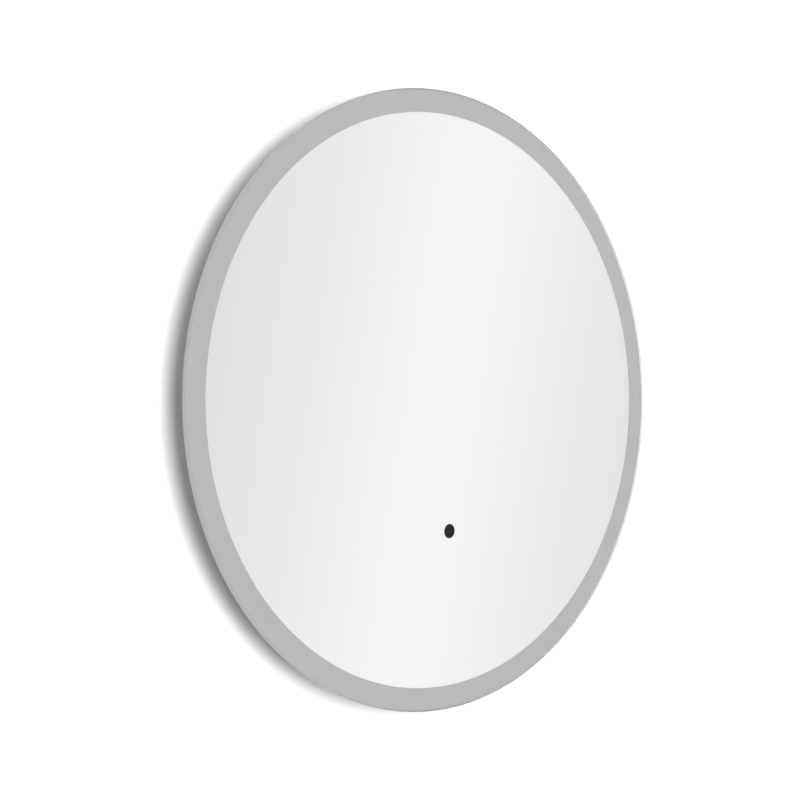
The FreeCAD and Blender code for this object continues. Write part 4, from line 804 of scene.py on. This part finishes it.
def rounded_route(corners, steps=9):
    """Straight runs with an arc of radius R at each corner. With f from minus half to plus half of
    the turn, an arc's points are centre - R cos f * inward + R sin f * along."""
    corner = np.asarray(corners, float) * 0.001
    run = np.diff(corner, axis=0)
    length = np.linalg.norm(run, axis=1)[:, None]
    arriving, leaving = unit(run)[:-1], unit(run)[1:]
    half = 0.5 * np.arccos((arriving * leaving).sum(1, keepdims=True))
    bend = 0.45 * np.minimum(length[:-1], length[1:]) / np.tan(half)
    inward, along = unit(leaving - arriving), unit(leaving + arriving)
    centre = corner[1:-1] + inward * bend / np.cos(half)
    turn = (half * np.linspace(-1, 1, steps))[..., None]
    arcs = centre[:, None] + bend[:, None] * (np.sin(turn) * along[:, None] - np.cos(turn) * inward[:, None])
    return np.concatenate([corner[:1], arcs.reshape(-1, 3), corner[-1:]])


print("a route with one corner has", len(rounded_route([(0, 0, 0), (9, 0, 0), (9, 0, 9)])), "points")

# %% Carry a circle along a route
def round_lead(corners, radius, sides=24):
    """A tube p + r cos a * side + r sin a * up round the route p, where side is square to the route
    and to the depth axis. It narrows by a tenth in its last step, and a face closes each end."""
    path = rounded_route(corners)
    run = unit(np.diff(path, axis=0))
    ahead = np.concatenate([run[:1], run[:1], run[:-1] + run[1:], run[-1:], run[-1:]])
    inset = 0.1 * radius
    path = np.concatenate([path[:1], path[:1] + inset * run[0], path[1:-1], path[-1:] - inset * run[-1],
                           path[-1:]])
    side = unit(np.cross(ahead, (0, 1, 0)))
    up = unit(np.cross(ahead, side))
    angle = np.linspace(0, 2 * math.pi, sides, endpoint=False)[:, None]
    reach = np.full((len(path), 1, 1), radius)
    reach[[0, -1]] -= inset
    points = path[:, None] + reach * (np.cos(angle) * side[:, None] + np.sin(angle) * up[:, None])
    return points.reshape(-1, 3), capped_tube(len(path), sides)


print("a straight lead has", len(round_lead([(0, 0, 0), (9, 0, 0)], 0.001)[0]), "points")

# %% Lay the leads
lead_crease = 30  # degrees: a lead's sides meet at 15 and its end faces at far more
lead_sets = [  # piece, node, radius, material, slot, and each route's corners in millimetres
    ("driver_sheath", "driver_lead", 0.003, LEAD, "lead_white", [
        [(-42, -15.25, -107), (-21.05, -15.25, -107), (-3.53, -16.5, -112), (11.8, -16.5, -112)]]),
    ("stripped_cores", "bay_cores", 0.0009, LEAD, "lead_white", [
        [(-42.3, -15.25, -105.95), (-57.7, -15.25, -102)],
        [(-42.3, -15.25, -108.05), (-57.7, -15.25, -112)]]),
    ("sensor_sheath", "sensor_lead", 0.002, LEAD, "lead_white", [
        [(138.2, -16.5, -112), (152.2, -16.5, -112), (176.2, -11.3, -128), (184.2, -11.3, -164),
         (164.2, -11.3, -202), (124.2, -11.3, -236), (76.2, -11.3, -247), (49.55, -19.05, -250),
         (27.55, -22.05, -250), (17.55, -22.05, -250)]]),
    ("strip_sheath", "strip_lead", 0.002, LEAD, "lead_white", [
        [(0, -22.05, -263.55), (0, -22.05, -273.866), (4, -11.3, -304.814), (4, -11.3, -343.499),
         (0, -19, -374.447), (0, -19, -392.5)]]),
    ("earth_sheath", "earth_lead", 0.0012, EARTH_LEAD, "lead_earth", [
        [(-58, -15.25, -122), (-13, -15.25, -122), (-5, -11.8, -130), (-5, -11.8, -145)]]),
]
for name, node, radius, material, slot, routes in lead_sets:
    leads = joined([round_lead(corners, radius) for corners in routes])
    make_piece(name, *leads, material, slot, replaces=[node], crease=lead_crease)

# %% [markdown]
# ## Finishes for the pieces that come straight from the frame
#
# The other pieces already have their true shape in the frame: pressed and moulded parts, the
# rails, the driver and the sensor. They only need a material, so a table pairs each node with
# the finish of its real counterpart.

# %% Give every other node its finish
finishes = {
    FOAM: ["bond_tape", "sensor_tape"], ALUMINIUM: ["frame_splice"],
    ZINC: ["splice_screws", "hanger_rail", "wall_rail", "lid_pin", "terminal_screws", "driver_nuts",
           "earth_stud", "earth_nut"],
    STRIP: ["strip_connector"], POWDER: ["back_plate"], HOUSING: ["wiring_bay", "bay_lid"],
    NYLON: ["terminal_block", "lead_clips"], BRASS: ["terminal_inserts", "earth_tag"],
    DRIVER: ["driver_case", "driver_cover"], BOARD: ["driver_board", "sensor_board"],
    COMPONENT: ["driver_parts", "sensor_eyes"], LENS: ["sensor_window"],
    SENSOR: ["sensor_case", "sensor_cap"], RUBBER: ["strip_lead_seal"],
}
for material, names in finishes.items():
    for name in names:
        mesh = nodes[name].data
        mesh.materials.clear()
        mesh.materials.append(material)
print(sum(len(names) for names in finishes.values()), "nodes have a finish")

# %% [markdown]
# ## Wall and floor
#
# The mirror hangs on a white wall. Real wall paint in a bright photograph comes out as plain
# white, while the narrow gap behind the mirror stays dark. The wall here is diffuse and grey to
# most rays, but the camera sees it overexposed. It has only a front side, so that the back of
# the mirror can be looked at through it.

# %% Paint with one side
def one_sided(name, base, seen, glow):
    """Diffuse paint of the tone base, whose back is fully transparent. The camera sees the tone seen,
    and an even glow that lights nothing. The first rays that leave the object pass it too, so the
    object's back is lit in the views from behind. Later rays don't, so the gap behind the mirror
    stays dark."""
    material = bpy.data.materials.new(name)
    material.use_nodes = True
    tree = material.node_tree
    tree.nodes.clear()
    path = add(tree, "ShaderNodeLightPath").outputs
    camera_ray, depth = path["Is Camera Ray"], path["Diffuse Depth"]
    colour = blend_colours(tree, camera_ray, (base,) * 3, (seen,) * 3)
    diffuse = add(tree, "ShaderNodeBsdfDiffuse", [("Color", colour)]).outputs[0]
    shining = math_node(tree, "MULTIPLY", camera_ray, glow)
    shine = add(tree, "ShaderNodeEmission", [("Strength", shining)]).outputs[0]
    paint = add(tree, "ShaderNodeAddShader", [(0, diffuse), (1, shine)]).outputs[0]
    clear = add(tree, "ShaderNodeBsdfTransparent").outputs[0]
    behind = add(tree, "ShaderNodeNewGeometry").outputs["Backfacing"]
    first_shadow = math_node(tree, "MULTIPLY", path["Is Shadow Ray"], math_node(
        tree, "LESS_THAN", depth, 0.5))
    first_bounce = math_node(tree, "MULTIPLY", path["Is Diffuse Ray"], math_node(
        tree, "LESS_THAN", depth, 1.5))
    passes = math_node(tree, "MAXIMUM", math_node(tree, "MAXIMUM", behind, path["Is Glossy Ray"]),
                       math_node(tree, "MAXIMUM", first_shadow, first_bounce))
    mixed = add(tree, "ShaderNodeMixShader", [(0, passes), (1, paint), (2, clear)]).outputs[0]
    add(tree, "ShaderNodeOutputMaterial", [("Surface", mixed)])
    return material


print("one_sided is ready")

# %% Build the wall and the floor
def stage_plane(name, low, high, material):
    """One flat face between two opposite corners, with two sides along X."""
    mesh = bpy.data.meshes.new(name)
    mesh.from_pydata([low, (high[0], *low[1:]), high, (low[0], *high[1:])], [], [(0, 1, 2, 3)])
    mesh.materials.append(material)
    plane = bpy.data.objects.new(name, mesh)
    bpy.context.scene.collection.objects.link(plane)
    return plane


side, ground, top, near, far = 4, -1.3, 3, -5, 3
behind_rail = 0.0004  # keeps the wall off the faces that touch it
stage_plane("wall", (-side, behind_rail, ground), (side, behind_rail, top),
            one_sided("wall_paint", 0.5, 1.6, 0.0))
floor = stage_plane("floor", (-side, near, ground), (side, far, ground),
                    one_sided("floor_paint", 0.8, 0.6, 0.5))
floor.visible_shadow = floor.visible_diffuse = floor.visible_glossy = floor.visible_transmission = False

# %% [markdown]
# ## What the mirror reflects
#
# A mirror looks like what stands in front of it. Here that is a plain pale room, a little
# brighter along one nearly upright line. The world gives camera rays plain white and gives rays
# that were bent or reflected that soft room. All other rays get a fill that is strongest from
# straight ahead, with some light from above, and an even one from behind the wall.

# %% Start a world
world = bpy.data.worlds.new("studio")
bpy.context.scene.world = world
world.use_nodes = True
sky = world.node_tree
sky.nodes.clear()


def calc(operation, *values):
    """One arithmetic step in the world's tree."""
    return math_node(sky, operation, *values)


print("made", world.name)

# %% Work out its light in every direction
line_azimuth, line_lean, line_spacing, line_softness = 43.2, 8.5, 36.0, 1.2  # degrees
room_peak, room_fall, pane_passes = 0.9146, 0.0171, 0.9
ahead_fill, above_fill, least_fill, back_fill = 0.8, 0.2, 0.03, 0.5
generated = add(sky, "ShaderNodeTexCoord").outputs["Generated"]
x, y, z = add(sky, "ShaderNodeSeparateXYZ", [(0, generated)]).outputs
azimuth = calc("DEGREES", calc("ARCTAN2", x, calc("MULTIPLY", y, -1.0)))
line = calc("MULTIPLY_ADD", z, line_lean, line_azimuth)
away = calc("PINGPONG", calc("SUBTRACT", azimuth, line), line_spacing / 2)
soft = calc("SQRT", calc("MULTIPLY_ADD", away, away, line_softness**2))
room = calc("DIVIDE", calc("MULTIPLY_ADD", soft, -room_fall, room_peak), pane_passes)
ahead = calc("POWER", calc("ABSOLUTE", y), 6.0)
above = calc("MULTIPLY", calc("MAXIMUM", z, 0.0), above_fill)
front_fill = calc("ADD", above, calc("MULTIPLY_ADD", ahead, ahead_fill, least_fill))
behind = span(sky, y, -0.02, 0.1, 0.0, 1.0)
fill = calc("MULTIPLY_ADD", behind, calc("SUBTRACT", back_fill, front_fill), front_fill)
path = add(sky, "ShaderNodeLightPath").outputs
bent = calc("MAXIMUM", path["Is Glossy Ray"], path["Is Transmission Ray"])
strength = calc("MULTIPLY_ADD", bent, calc("SUBTRACT", room, fill), fill)
to_white = calc("SUBTRACT", 1.0, strength)
strength = calc("MULTIPLY_ADD", path["Is Camera Ray"], to_white, strength)
light = add(sky, "ShaderNodeBackground", [("Color", (1, 1, 1, 1)), ("Strength", strength)])
add(sky, "ShaderNodeOutputWorld", [("Surface", light.outputs[0])])
print("world has", len(sky.nodes), "nodes")

# %% [markdown]
# ## Lamps and camera
#
# One large soft lamp stands in front, a little to the left and above the mirror's middle, so the
# narrow gap behind the glass stays in shade. A weaker one lights the back for the other views.
# The camera stands to the left at the mirror's own height, as in the photograph.

# %% Place the lamps
def soft_lamp(name, place, across, watts):
    """A square area lamp aimed at the mirror, hidden from gloss so that no mirror shows it."""
    data = bpy.data.lights.new(name, "AREA")
    data.shape, data.size, data.energy = "SQUARE", across, watts
    lamp = bpy.data.objects.new(name, data)
    lamp.location = place
    lamp.rotation_euler = (axis - Vector(place)).to_track_quat("-Z", "Y").to_euler()
    lamp.visible_glossy = lamp.visible_transmission = lamp.visible_camera = False
    bpy.context.scene.collection.objects.link(lamp)
    print(name, "stands", round((axis - Vector(place)).length, 2), "m away")


soft_lamp("key", (-0.35, -3.1, 0.1), 2.4, 66)
soft_lamp("back_light", (-0.7, 2.6, 0.9), 1.6, 22)

# %% Place the camera
camera_data = bpy.data.cameras.new("camera")
camera_data.sensor_width, camera_data.lens = 36, 55.44
camera = bpy.data.objects.new("camera", camera_data)
camera.location = (-0.829, -0.904, axis.z)
camera.rotation_euler = (math.pi / 2, 0, -math.radians(41.23))
scene = bpy.context.scene
scene.collection.objects.link(camera)
scene.camera = camera
scene.view_settings.view_transform = "Standard"
print("camera stands", round((camera.location - axis).length, 3), "m from the mirror's axis point")
